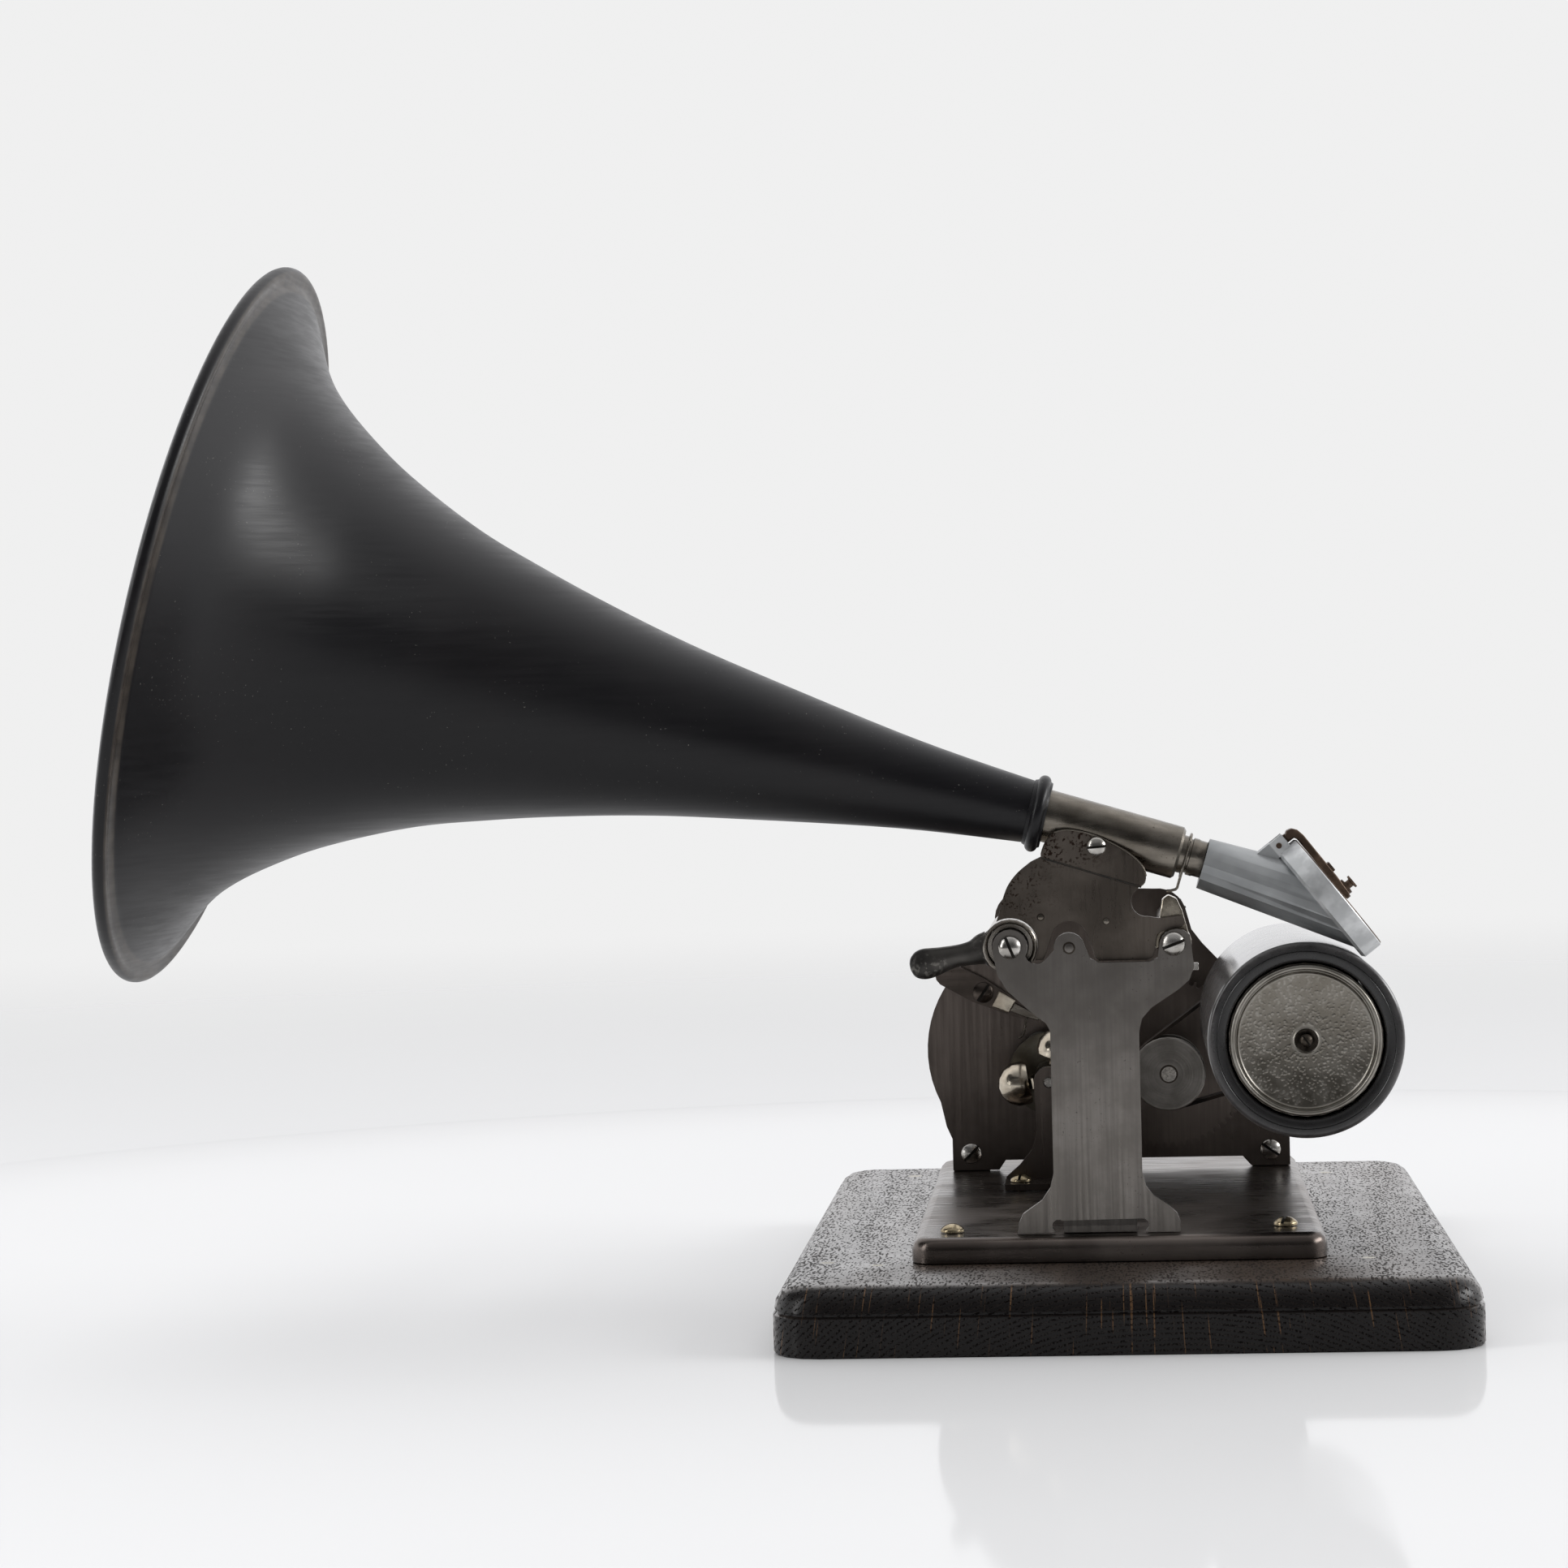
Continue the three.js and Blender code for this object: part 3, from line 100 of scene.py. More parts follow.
def add_camera():
    """A long lens in front of the machine, at the height of its carriage."""
    spin = Matrix.Rotation(YAW, 3, "Z")
    forward = spin @ Vector((0, math.cos(PITCH), -math.sin(PITCH)))
    right = spin @ Vector((1, 0, 0))
    up = right.cross(forward)
    rolled_right = math.cos(ROLL) * right + math.sin(ROLL) * up
    rolled_up = -math.sin(ROLL) * right + math.cos(ROLL) * up
    data = bpy.data.cameras.new("camera")
    data.lens, data.sensor_width = LENS_MM, 36
    data.clip_start, data.clip_end = 0.05, 60
    camera = bpy.data.objects.new("camera", data)
    SCENE.collection.objects.link(camera)
    turn = Matrix((rolled_right, rolled_up, -forward)).transposed()
    camera.matrix_world = Matrix.Translation(CAMERA_AT) @ turn.to_4x4()
    SCENE.camera = camera


add_camera()
SCENE.view_settings.view_transform = "Standard"


# ---------- node graphs ----------

class Nodes:
    """A node tree, emptied and built in code. place is the vector that textures read by default."""

    def __init__(self, tree, place):
        self.tree = tree
        self.tree.nodes.clear()
        self.place = self.add("ShaderNodeTexCoord").outputs[place]

    def add(self, kind, **settings):
        node = self.tree.nodes.new(kind)
        for key, value in settings.items():
            if hasattr(node, key):
                setattr(node, key, value)
            else:
                node.inputs[key.replace("_", " ")].default_value = value
        return node

    def link(self, source, target):
        self.tree.links.new(source, target)

    def feed(self, socket, value):
        if isinstance(value, bpy.types.NodeSocket):
            self.link(value, socket)
        else:
            socket.default_value = value

    def stretched(self, scale):
        node = self.add("ShaderNodeMapping")
        self.link(self.place, node.inputs["Vector"])
        node.inputs["Scale"].default_value = scale
        return node.outputs[0]

    def noise(self, scale, detail=3.0, vector=None, rough=0.55):
        node = self.add("ShaderNodeTexNoise", Scale=scale, Detail=detail, Roughness=rough)
        self.link(vector or self.place, node.inputs["Vector"])
        return node.outputs["Fac"]

    def cells(self, scale, feature="F1"):
        node = self.add("ShaderNodeTexVoronoi", feature=feature)
        node.inputs["Scale"].default_value = scale
        self.link(self.place, node.inputs["Vector"])
        return node.outputs["Distance"]

    def band(self, value, low, high, to_low=0.0, to_high=1.0):
        node = self.add("ShaderNodeMapRange", interpolation_type="SMOOTHSTEP")
        for socket, number in zip(list(node.inputs)[:5], (value, low, high, to_low, to_high)):
            self.feed(socket, number)
        return node.outputs[0]

    def math(self, operation, first, second=0.0):
        node = self.add("ShaderNodeMath", operation=operation)
        self.feed(node.inputs[0], first)
        self.feed(node.inputs[1], second)
        return node.outputs[0]

    def times(self, first, second):
        return self.math("MULTIPLY", first, second)

    def plus(self, first, second):
        return self.math("ADD", first, second)

    def most(self, first, second):
        return self.math("MAXIMUM", first, second)

    def invert(self, value):
        return self.math("SUBTRACT", 1.0, value)

    def mix(self, factor, first, second):
        node = self.add("ShaderNodeMix", data_type="RGBA")
        for index, value in ((0, factor), (6, first), (7, second)):
            if isinstance(value, tuple) and len(value) == 3:
                value = (*value, 1.0)
            self.feed(node.inputs[index], value)
        return node.outputs[2]

    def axes(self, vector=None):
        node = self.add("ShaderNodeSeparateXYZ")
        self.link(vector or self.place, node.inputs[0])
        return node.outputs

    def along(self, x=0.0, y=0.0, z=0.0):
        node = self.add("ShaderNodeCombineXYZ")
        for socket, value in zip(node.inputs, (x, y, z)):
            self.feed(socket, value)
        return node.outputs[0]

    def vector_math(self, operation, first, second=(0, 0, 0)):
        node = self.add("ShaderNodeVectorMath", operation=operation)
        self.link(first, node.inputs[0])
        node.inputs[1].default_value = second
        return node.outputs

    def radius(self, centre, keep=(1, 0, 1)):
        """The distance from an axis through centre, in metres; keep is 0 along the axis."""
        away = self.vector_math("SUBTRACT", self.place, centre)[0]
        flat = self.vector_math("MULTIPLY", away, keep)[0]
        return self.vector_math("LENGTH", flat)["Value"]

    def reach(self, start, way):
        """How far a point lies past start along way, in metres."""
        away = self.vector_math("SUBTRACT", self.place, start)[0]
        return self.vector_math("DOT_PRODUCT", away, way)["Value"]


class Graph(Nodes):
    """A material with one Principled shader. Vectors are in metres in the row frame."""

    def __init__(self, name, **settings):
        self.material = bpy.data.materials.new(name)
        self.material.use_nodes = True
        super().__init__(self.material.node_tree, "Object")
        self.shader = self.add("ShaderNodeBsdfPrincipled", **settings)
        out = self.add("ShaderNodeOutputMaterial")
        self.link(self.shader.outputs[0], out.inputs[0])

    def finish(self, colour, rough=None, heights=()):
        """Feeds the shader. Each of heights is a height, its depth in metres and its strength."""
        self.feed(self.shader.inputs["Base Color"], colour)
        if rough is not None:
            self.feed(self.shader.inputs["Roughness"], rough)
        normal = None
        for height, depth, strength in heights:
            node = self.add("ShaderNodeBump", Strength=strength, Distance=depth)
            self.link(height, node.inputs["Height"])
            if normal is not None:
                self.link(normal, node.inputs["Normal"])
            normal = node.outputs[0]
        if normal is not None:
            self.link(normal, self.shader.inputs["Normal"])
        return self.material


def patina(name, clean, worn, rough, brush, stain, stained, cloud, metallic=1.0, relief=1.0,
           pitted=None, shaded=None):
    """Aged plate: soft clouds, fine brushing along one axis, and small dark rust pits.

    clean and worn are the two metal colours, brush and cloud the scales of the brushing and the
    clouds, and stained is how strongly the pits take the colour stain. pitted and shaded take the
    graph and return a mask: where pits crowd, and where shade is painted into the colour.
    """
    g = Graph(name, Metallic=metallic)
    fine = g.noise(1.0, 2, g.stretched(brush))
    soft = g.noise(cloud, 4)
    colour = g.mix(g.band(soft, 0.36, 0.66), worn, clean)
    colour = g.mix(g.band(fine, 0.3, 0.75, 0.0, 0.35), colour, tuple(0.55 * c for c in clean))
    pits = g.times(g.band(g.noise(1500, 1), 0.68, 0.74), g.band(g.noise(60, 2), 0.5, 0.6))
    if pitted:
        dense = g.times(g.band(g.noise(1150, 1), 0.55, 0.60), g.band(g.noise(210, 2), 0.38, 0.50))
        pits = g.most(pits, g.times(dense, pitted(g)))
    if shaded:
        # Painted shade: where the shaded mask is high, the colour darkens towards a third of clean.
        colour = g.mix(shaded(g), colour, tuple(0.3 * c for c in clean))
    spots = g.times(pits, stained)
    colour = g.mix(spots, colour, stain)
    polish = g.band(fine, 0.25, 0.8, rough - 0.07, rough + 0.09)
    polish = g.plus(polish, g.times(g.band(soft, 0.35, 0.7), 0.10))
    polish = g.plus(polish, g.times(spots, 0.3))
    heights = [(fine, 0.00002, 0.2 * relief), (g.noise(200, 2), 0.00005, 0.12 * relief)]
    return g.finish(colour, polish, heights)


def carriage_pits(g):
    """Rust pits crowd the sheet's left shoulder and the lobe's left half."""
    x, _, z = g.axes()
    shoulder = g.times(g.band(x, -0.014, -0.028), g.band(z, 0.116, 0.124))
    lobe = g.times(g.band(z, 0.132, 0.138), g.band(x, 0.002, -0.010))
    return g.most(shoulder, lobe)


def front_plate_shade(g):
    """Painted shade: the front plate is painted darker towards its arms, and darker still on its bent
    foot.
    """
    _, y, z = g.axes()
    arms = g.band(z, 0.06, 0.11, 0.0, 0.55)
    foot = g.times(g.band(y, -0.0979, -0.0974), g.band(z, 0.0338, 0.0322))
    return g.most(arms, g.times(foot, 0.92))


def turned_metal(name, clean, worn, rough, centre, lines=2600):
    """Lathe-turned metal: fine rings about an axis along Y, with clouded tarnish."""
    g = Graph(name, Metallic=1.0)
    radius = g.radius(in_metres(centre))
    _, y, _ = g.axes()
    rings = g.noise(1.0, 2, g.along(g.times(radius, lines), g.times(y, lines)))
    soft = g.noise(110, 4)
    colour = g.mix(g.band(soft, 0.35, 0.68), worn, clean)
    colour = g.mix(g.band(rings, 0.35, 0.7, 0.0, 0.3), colour, tuple(0.6 * c for c in clean))
    polish = g.band(rings, 0.3, 0.7, rough - 0.06, rough + 0.1)
    return g.finish(colour, polish, [(rings, 0.00003, 0.3), (g.noise(400, 2), 0.00004, 0.12)])


def stained_oak():
    """Dark stained oak, grain along Y: open pores on the faces, arcs and pale rays on the end grain."""
    g = Graph("stained_oak", Coat_Roughness=0.2)
    x, y, z = g.axes()
    normal = g.axes(g.add("ShaderNodeTexCoord").outputs["Normal"])
    top = g.band(normal[2], 0.6, 0.95)
    end = g.band(g.math("ABSOLUTE", normal[1]), 0.2, 0.55)
    # open pores: fine dark dashes along the grain, which sways a little
    sway = g.times(g.noise(1.0, 2, g.stretched((9, 3, 9))), 0.014)
    lane = g.plus(x, sway)
    dashes = g.along(g.times(lane, 1350.0), g.times(y, 360.0), g.times(z, 900.0))
    dash = g.noise(1.0, 1, dashes, 0.4)
    crowd = g.noise(1.0, 2, g.along(g.times(lane, 130.0), g.times(y, 6.0), 0.0))
    face_pore = g.band(g.plus(dash, g.times(crowd, 0.3)), 0.66, 0.78, 0.0, 0.8)
    # growth rings, as arcs about a pith well below the board
    ring_at = g.plus(g.radius((0.012, 0.0, -0.11)), g.times(sway, 0.6))
    rings = g.band(g.math("SINE", g.times(ring_at, 4200.0)), -0.5, 0.9)
    end_pore = g.times(g.band(g.noise(1700, 2), 0.46, 0.6), rings)
    pore = g.most(g.times(face_pore, g.invert(end)), g.times(end_pore, end))
    tone = g.band(g.noise(1.0, 3, g.stretched((40, 5, 40))), 0.3, 0.7)
    colour = g.mix(tone, (0.026, 0.019, 0.015), (0.052, 0.037, 0.028))
    colour = g.mix(end, colour, (0.0045, 0.0036, 0.0036))
    colour = g.mix(g.times(g.times(rings, end), 0.55), colour, (0.010, 0.0072, 0.006))
    # medullary rays: thin upright orange-brown flecks on the end grain
    leaning = g.plus(x, g.times(z, g.band(x, -0.09, 0.09, -0.16, 0.16)))
    ray = g.noise(1.0, 1, g.along(g.times(leaning, 1100.0), 3.0, g.times(z, 30.0)))
    patch = g.noise(1.0, 2, g.along(g.times(x, 75.0), 9.0, g.times(z, 130.0)))
    ray = g.times(g.band(ray, 0.64, 0.70), g.band(patch, 0.38, 0.50))
    ray = g.times(ray, end)
    colour = g.mix(g.times(ray, 0.6), colour, (0.15, 0.078, 0.033))
    # five filled screw holes that have worn pale
    plugs = None
    for across, deep, size in PLUGS:
        away = g.radius(in_metres((across, deep, 0)), (1, 1, 0))
        spot = g.band(away, size * MM, 0.6 * size * MM)
        plugs = spot if plugs is None else g.most(plugs, spot)
    plugs = g.times(g.times(plugs, g.band(g.noise(500, 2), 0.25, 0.42)), top)
    colour = g.mix(g.times(pore, 0.9), colour, (0.004, 0.0035, 0.0035))
    colour = g.mix(g.times(plugs, 0.9), colour, (0.55, 0.53, 0.48))
    shine = g.times(g.invert(g.most(pore, plugs)), g.invert(g.times(end, 0.6)))
    g.feed(g.shader.inputs["Coat Weight"], g.times(shine, 0.5))
    g.feed(g.shader.inputs["Specular IOR Level"], g.times(shine, 0.5))
    polish = g.band(g.noise(90, 3), 0.3, 0.7, 0.30, 0.40)
    polish = g.plus(polish, g.times(pore, 0.4))
    sunk = g.invert(pore)
    return g.finish(colour, polish, [(sunk, 0.00012, 0.45), (g.noise(300, 2), 0.00005, 0.12)])


def black_japan():
    """Satin black lacquer, lightly rubbed along the horn, with dust specks and a worn rolled rim with a
    painted highlight.
    """
    g = Graph("black_japan")
    dust = g.times(g.band(g.noise(1500, 1), 0.74, 0.78), g.band(g.noise(40, 2), 0.45, 0.6))
    soft = g.noise(16, 4)
    colour = g.mix(g.band(soft, 0.35, 0.65), (0.0035, 0.0034, 0.0045), (0.0062, 0.0056, 0.0066))
    colour = g.mix(g.times(dust, 0.45), colour, (0.25, 0.24, 0.22))
    at = g.reach(in_metres(HORN_SEAT), HORN_WAY)
    lip = g.band(at, *HORN_LIP)
    seam = g.times(g.band(at, *HORN_GROOVE[0]), g.band(at, *HORN_GROOVE[1]))
    wear_and_highlight = g.band(g.noise(160, 3), 0.3, 0.7, 0.4, 0.9)
    # The rim's lip is lightened in patches: partly wear, partly a painted highlight.
    colour = g.mix(g.times(lip, wear_and_highlight), colour, (0.11, 0.112, 0.116))
    colour = g.mix(g.times(seam, wear_and_highlight), colour, (0.055, 0.046, 0.038))
    streak = g.noise(1.0, 2, g.stretched((45, 60, 900)))
    rub = g.times(g.band(g.noise(1.0, 2, g.stretched((14, 14, 90))), 0.45, 0.7), 0.05)
    polish = g.plus(g.band(streak, 0.3, 0.7, 0.30, 0.36), g.times(soft, 0.05))
    polish = g.plus(polish, rub)
    g.feed(g.shader.inputs["Specular IOR Level"], g.band(lip, 0.0, 1.0, 0.30, 0.6))
    return g.finish(colour, polish, [(streak, 0.00003, 0.10), (g.noise(90, 3), 0.0002, 0.04)])


def wax():
    """Hard black wax: very fine grooves round the cylinder, a greyed bloom on the rim."""
    g = Graph("black_wax", Coat_Roughness=0.16)
    radius = g.radius(in_metres(MANDREL))
    _, y, _ = g.axes()
    outside = g.band(radius, *RECORD_OUTSIDE)
    groove = g.math("SINE", g.times(y, 2 * math.pi / GROOVE_PITCH))
    groove = g.times(groove, outside)
    bloom = g.times(g.band(radius, 0.0258, 0.0284), g.band(g.noise(120, 3), 0.2, 0.7))
    colour = g.mix(g.times(bloom, 0.8), (0.009, 0.0085, 0.0088), (0.095, 0.09, 0.09))
    polish = g.plus(g.band(g.noise(200, 3), 0.3, 0.7, 0.24, 0.32), g.times(outside, 0.08))
    g.feed(g.shader.inputs["Coat Weight"], g.band(outside, 0.0, 1.0, 0.15, 0.92))
    colour = g.mix(g.times(outside, 0.8), colour, (0.045, 0.0435, 0.043))
    return g.finish(colour, polish, [(groove, 0.00001, 0.2), (g.noise(700, 2), 0.00002, 0.05)])


def stamped_cap():
    """Warm grey stamped sheet with a pebbled field between two rings, polished on its high places."""
    g = Graph("stamped_cap", Metallic=1.0)
    radius = g.radius(in_metres(MANDREL))
    field = g.times(g.band(radius, *CAP_FIELD[0]), g.band(radius, *CAP_FIELD[1]))
    pebble = g.band(g.cells(1150, feature="SMOOTH_F1"), 0.12, 0.5, 1.0, 0.0)
    pebble = g.times(pebble, field)
    soft = g.noise(130, 4)
    colour = g.mix(g.band(soft, 0.35, 0.7), (0.24, 0.224, 0.195), (0.38, 0.36, 0.325))
    low = g.times(g.invert(pebble), field)
    colour = g.mix(g.times(low, 0.45), colour, (0.11, 0.095, 0.072))
    polish = g.band(soft, 0.3, 0.7, 0.30, 0.42)
    return g.finish(colour, polish, [(pebble, 0.00016, 0.45), (g.noise(900, 2), 0.00003, 0.2)])


def cast_aluminium():
    """Bare cast aluminium, hand finished: soft clouds, a few grey patches and very fine scratches."""
    g = Graph("cast_aluminium", Metallic=0.8)
    soft = g.noise(55, 3)
    grey = g.times(g.band(g.noise(300, 3), 0.55, 0.72), g.band(g.noise(50, 2), 0.45, 0.6))
    colour = g.mix(g.band(soft, 0.35, 0.7), (0.27, 0.28, 0.285), (0.38, 0.39, 0.396))
    colour = g.mix(g.times(grey, 0.5), colour, (0.25, 0.26, 0.27))
    # Painted reflection: the housing past the disc's face is lightened in patches.
    housing = g.band(g.reach(in_metres(DISC_CENTRE), DISC_OUT), *DISC_FACE)
    bright = g.times(housing, g.band(g.noise(140, 3), 0.35, 0.65, 0.45, 1.0))
    colour = g.mix(bright, colour, (0.66, 0.67, 0.675))
    scratch = g.noise(1.0, 2, g.stretched((220, 2200, 2200)))
    polish = g.band(soft, 0.3, 0.7, 0.44, 0.54)
    return g.finish(colour, polish, [(scratch, 0.00001, 0.2), (g.noise(150, 2), 0.00006, 0.12)])


def dark_casting():
    """Blackened casting with the steel showing through in small bright worn spots."""
    g = Graph("blackened_casting", Metallic=0.85)
    worn = g.times(g.band(g.noise(700, 3), 0.52, 0.62), g.band(g.noise(90, 2), 0.45, 0.6))
    colour = g.mix(g.band(g.noise(80, 3), 0.3, 0.7), (0.035, 0.033, 0.031), (0.085, 0.08, 0.074))
    colour = g.mix(g.times(worn, 0.6), colour, (0.22, 0.21, 0.19))
    polish = g.band(g.noise(300, 3), 0.3, 0.7, 0.33, 0.52)
    return g.finish(colour, polish, [(g.noise(600, 3), 0.00015, 0.45)])


def dark_leather():
    """Dry dark belt leather with a fine pebbled grain."""
    g = Graph("belt_leather", Specular_IOR_Level=0.15)
    grain = g.cells(1500)
    colour = g.mix(g.band(g.noise(160, 3), 0.3, 0.7), (0.010, 0.008, 0.007), (0.030, 0.022, 0.017))
    polish = g.band(g.noise(500, 2), 0.3, 0.7, 0.5, 0.7)
    return g.finish(colour, polish, [(grain, 0.0001, 0.5)])


def mica():
    """Pale cloudy mica."""
    g = Graph("mica_sheet")
    layer = g.noise(60, 4)
    colour = g.mix(g.band(layer, 0.35, 0.65), (0.55, 0.50, 0.42), (0.74, 0.71, 0.64))
    return g.finish(colour, g.band(layer, 0.3, 0.7, 0.12, 0.3), [(layer, 0.0001, 0.2)])


RUST = (0.045, 0.022, 0.012)

LOOKS = {
    "oak": stained_oak(),
    "bed": patina("bed_steel", (0.20, 0.172, 0.155), (0.10, 0.083, 0.074), 0.27, (60, 700, 700),
                  RUST, 0.5, 30),
    "plate": patina("front_plate_steel", (0.32, 0.297, 0.275), (0.21, 0.193, 0.175), 0.33,
                    (1200, 1200, 26), (0.04, 0.032, 0.026), 0.55, 60, shaded=front_plate_shade),
    "carriage": patina("carriage_steel", (0.165, 0.142, 0.122), (0.10, 0.085, 0.072), 0.30,
                       (900, 900, 60), (0.022, 0.012, 0.008), 0.95, 50, pitted=carriage_pits),
    "bronzed": patina("bronzed_steel", (0.21, 0.178, 0.158), (0.12, 0.10, 0.088), 0.32,
                      (900, 900, 22), RUST, 0.35, 28),
    "strap": patina("strap_steel", (0.15, 0.125, 0.11), (0.085, 0.07, 0.06), 0.33, (60, 900, 900),
                    RUST, 0.4, 60),
    "nickel": patina("warm_nickel", (0.245, 0.222, 0.19), (0.14, 0.123, 0.102), 0.25,
                     (70, 900, 900), (0.05, 0.034, 0.02), 0.5, 60),
    "bright_nickel": patina("bright_nickel", (0.62, 0.56, 0.46), (0.42, 0.36, 0.28), 0.14,
                            (300, 300, 300), (0.10, 0.06, 0.03), 0.3, 120, relief=0.5),
    "screw": patina("screw_steel", (0.60, 0.58, 0.55), (0.40, 0.38, 0.35), 0.20,
                    (300, 300, 300), (0.06, 0.045, 0.03), 0.3, 200, relief=0.3),
    "dark_screw": patina("dark_screw_steel", (0.10, 0.085, 0.07), (0.04, 0.033, 0.027), 0.34,
                         (300, 300, 300), (0.02, 0.012, 0.008), 0.5, 300, relief=0.5),
    # Dark look: dirt and painted shade in the screw slots, and a painted shadow along the carriage's
    # crease.
    "dirt_and_painted_shade": patina("dirt_and_painted_shade", (0.030, 0.024, 0.018), (0.012, 0.010, 0.008), 0.6,
                        (300, 300, 300), (0.02, 0.012, 0.008), 0.5, 300, metallic=0.3),
    "brass_screw": patina("aged_brass", (0.50, 0.42, 0.28), (0.30, 0.24, 0.15), 0.22,
                          (300, 300, 300), (0.05, 0.035, 0.02), 0.3, 220, relief=0.3),
    "steel": patina("turned_steel", (0.44, 0.42, 0.395), (0.27, 0.25, 0.225), 0.26,
                    (900, 1500, 900), (0.06, 0.04, 0.025), 0.4, 120, relief=0.6),
    "brown": patina("brown_steel", (0.13, 0.088, 0.064), (0.065, 0.043, 0.031), 0.42,
                    (700, 700, 700), (0.02, 0.010, 0.006), 0.6, 150, metallic=0.8),
    "casting": dark_casting(),
    "aluminium": cast_aluminium(),
    "japan": black_japan(),
    "wax": wax(),
    "cap": stamped_cap(),
    "leather": dark_leather(),
    "mica": mica(),
    "pulley": turned_metal("pulley_steel", (0.28, 0.264, 0.243), (0.18, 0.168, 0.152), 0.36,
                           DRIVE_SHAFT, lines=1500),
    "mandrel_pulley": turned_metal("mandrel_pulley_steel", (0.24, 0.23, 0.21), (0.13, 0.12, 0.105),
                                   0.36, MANDREL),
    "governor_disc": turned_metal("governor_disc_steel", (0.17, 0.155, 0.125), (0.09, 0.08, 0.062),
                                  0.34, GOVERNOR),
    "sleeve": turned_metal("sleeve_nickel", (0.42, 0.39, 0.35), (0.24, 0.215, 0.185), 0.22,
                           GUIDE_ROD),
}

NODE_LOOKS = {
    "wood_base": "oak", "bed_plate": "bed", "front_plate": "plate", "carriage_plate": "carriage",
    "middle_plate": "bronzed", "rear_plate": "bronzed", "spring_barrel": "bronzed",
    "second_wheel": "bronzed", "great_wheel": "nickel", "guide_rod": "steel",
    "guide_rod_screw": "screw", "feed_pivot_screw": "screw", "strap_screw": "strap",
    "tube_screw": "screw", "rear_screw_1": "screw", "rear_screw_2": "screw",
    "mandrel_bearing": "casting", "carriage_bushing": "sleeve", "carriage_sleeve": "sleeve",
    "horn_tube": "nickel", "lift_lever": "casting", "half_nut": "bright_nickel", "horn_bell": "japan",
    "horn_collar": "japan", "reproducer_neck": "nickel", "reproducer_body": "aluminium",
    "diaphragm": "mica", "stylus_lever": "brown", "stylus": "brown", "mainspring": "brown",
    "winding_arbor": "steel", "ratchet_wheel": "steel", "ratchet_pawl": "steel",
    "winding_key": "nickel", "drive_shaft": "steel", "drive_pulley": "pulley", "belt": "leather",
    "third_shaft": "steel", "third_wheel": "brass_screw", "governor_shaft": "steel",
    "governor_weight_1": "bright_nickel", "governor_weight_2": "bright_nickel",
    "governor_weight_3": "bright_nickel", "governor_disc": "governor_disc",
    "speed_strap": "strap", "mandrel": "nickel", "mandrel_cap": "cap", "mandrel_screw": "dark_screw",
    "mandrel_shaft": "steel", "mandrel_pulley": "mandrel_pulley", "record": "wax",
    "feed_screw": "steel", "feed_idler_1": "brass_screw", "feed_idler_2": "brass_screw",
    "bed_screw_1": "brass_screw", "bed_screw_2": "brass_screw", "bed_screw_3": "brass_screw",
    "bed_screw_4": "brass_screw", "middle_screw_1": "brass_screw", "middle_screw_2": "brass_screw",
}

# How far each machined edge is broken, in millimetres.
EDGE_BREAK = {
    "front_plate": 0.22, "carriage_plate": 0.3, "middle_plate": 0.3, "rear_plate": 0.3,
    "bed_plate": 0.4, "half_nut": 0.5, "speed_strap": 0.25, "winding_key": 0.6,
    "stylus_lever": 0.2, "ratchet_pawl": 0.2,
}


def flatten_shading(thing):
    """Large flat faces decide the normals, so that broken edges don't darken them."""
    even = thing.modifiers.new("even", "WEIGHTED_NORMAL")
    even.weight = 100
    even.keep_sharp = True


def dress_cad_nodes():
    """Gives every CAD node its procedural finish and smooth round faces, and the listed ones slightly
    broken edges.
    """
    for name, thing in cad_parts.items():
        mesh = thing.data
        mesh.materials.clear()
        mesh.materials.append(LOOKS[NODE_LOOKS[name]])
        for face in mesh.polygons:
            face.use_smooth = True
        if "custom_normal" in mesh.attributes:
            mesh.attributes.remove(mesh.attributes["custom_normal"])
        weld = thing.modifiers.new("weld", "WELD")
        weld.merge_threshold = 2e-6  # metres
        if name in EDGE_BREAK:
            flat = thing.modifiers.new("flat", "DECIMATE")
            flat.decimate_type = "DISSOLVE"
            flat.angle_limit = math.radians(0.5)
            edge = thing.modifiers.new("edge", "BEVEL")
            edge.width = EDGE_BREAK[name] * MM
            edge.segments = 2
            edge.limit_method = "ANGLE"
            edge.angle_limit = math.radians(40)
            edge.use_clamp_overlap = True
        split = thing.modifiers.new("split", "EDGE_SPLIT")
        split.split_angle = math.radians(SHARP_FROM)
        if name in EDGE_BREAK:
            flatten_shading(thing)


# ---------- mesh helpers ----------

def new_piece(name, verts, faces, look, body, sharp=SHARP_FROM):
    """A smooth-shaded mesh from corners in millimetres, riding its body."""
    mesh = bpy.data.meshes.new(name)
    mesh.from_pydata([Vector(v) * MM for v in verts], [], faces)
    work = bmesh.new()
    work.from_mesh(mesh)
    bmesh.ops.remove_doubles(work, verts=work.verts, dist=1e-7)
    bmesh.ops.recalc_face_normals(work, faces=work.faces)
    work.to_mesh(mesh)
    work.free()
    for face in mesh.polygons:
        face.use_smooth = True
    mesh.set_sharp_from_angle(angle=math.radians(sharp))
    thing = bpy.data.objects.new(name, mesh)
    SCENE.collection.objects.link(thing)
    mesh.materials.append(LOOKS[look])
    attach(thing, body)
    return thing


def side_axes(way):
    """Two unit vectors at right angles to way and to each other."""
    way = Vector(way).normalized()
    first = way.cross(Vector((0, 0, 1)) if abs(way.z) < 0.9 else Vector((1, 0, 0))).normalized()
    return way, first, way.cross(first)


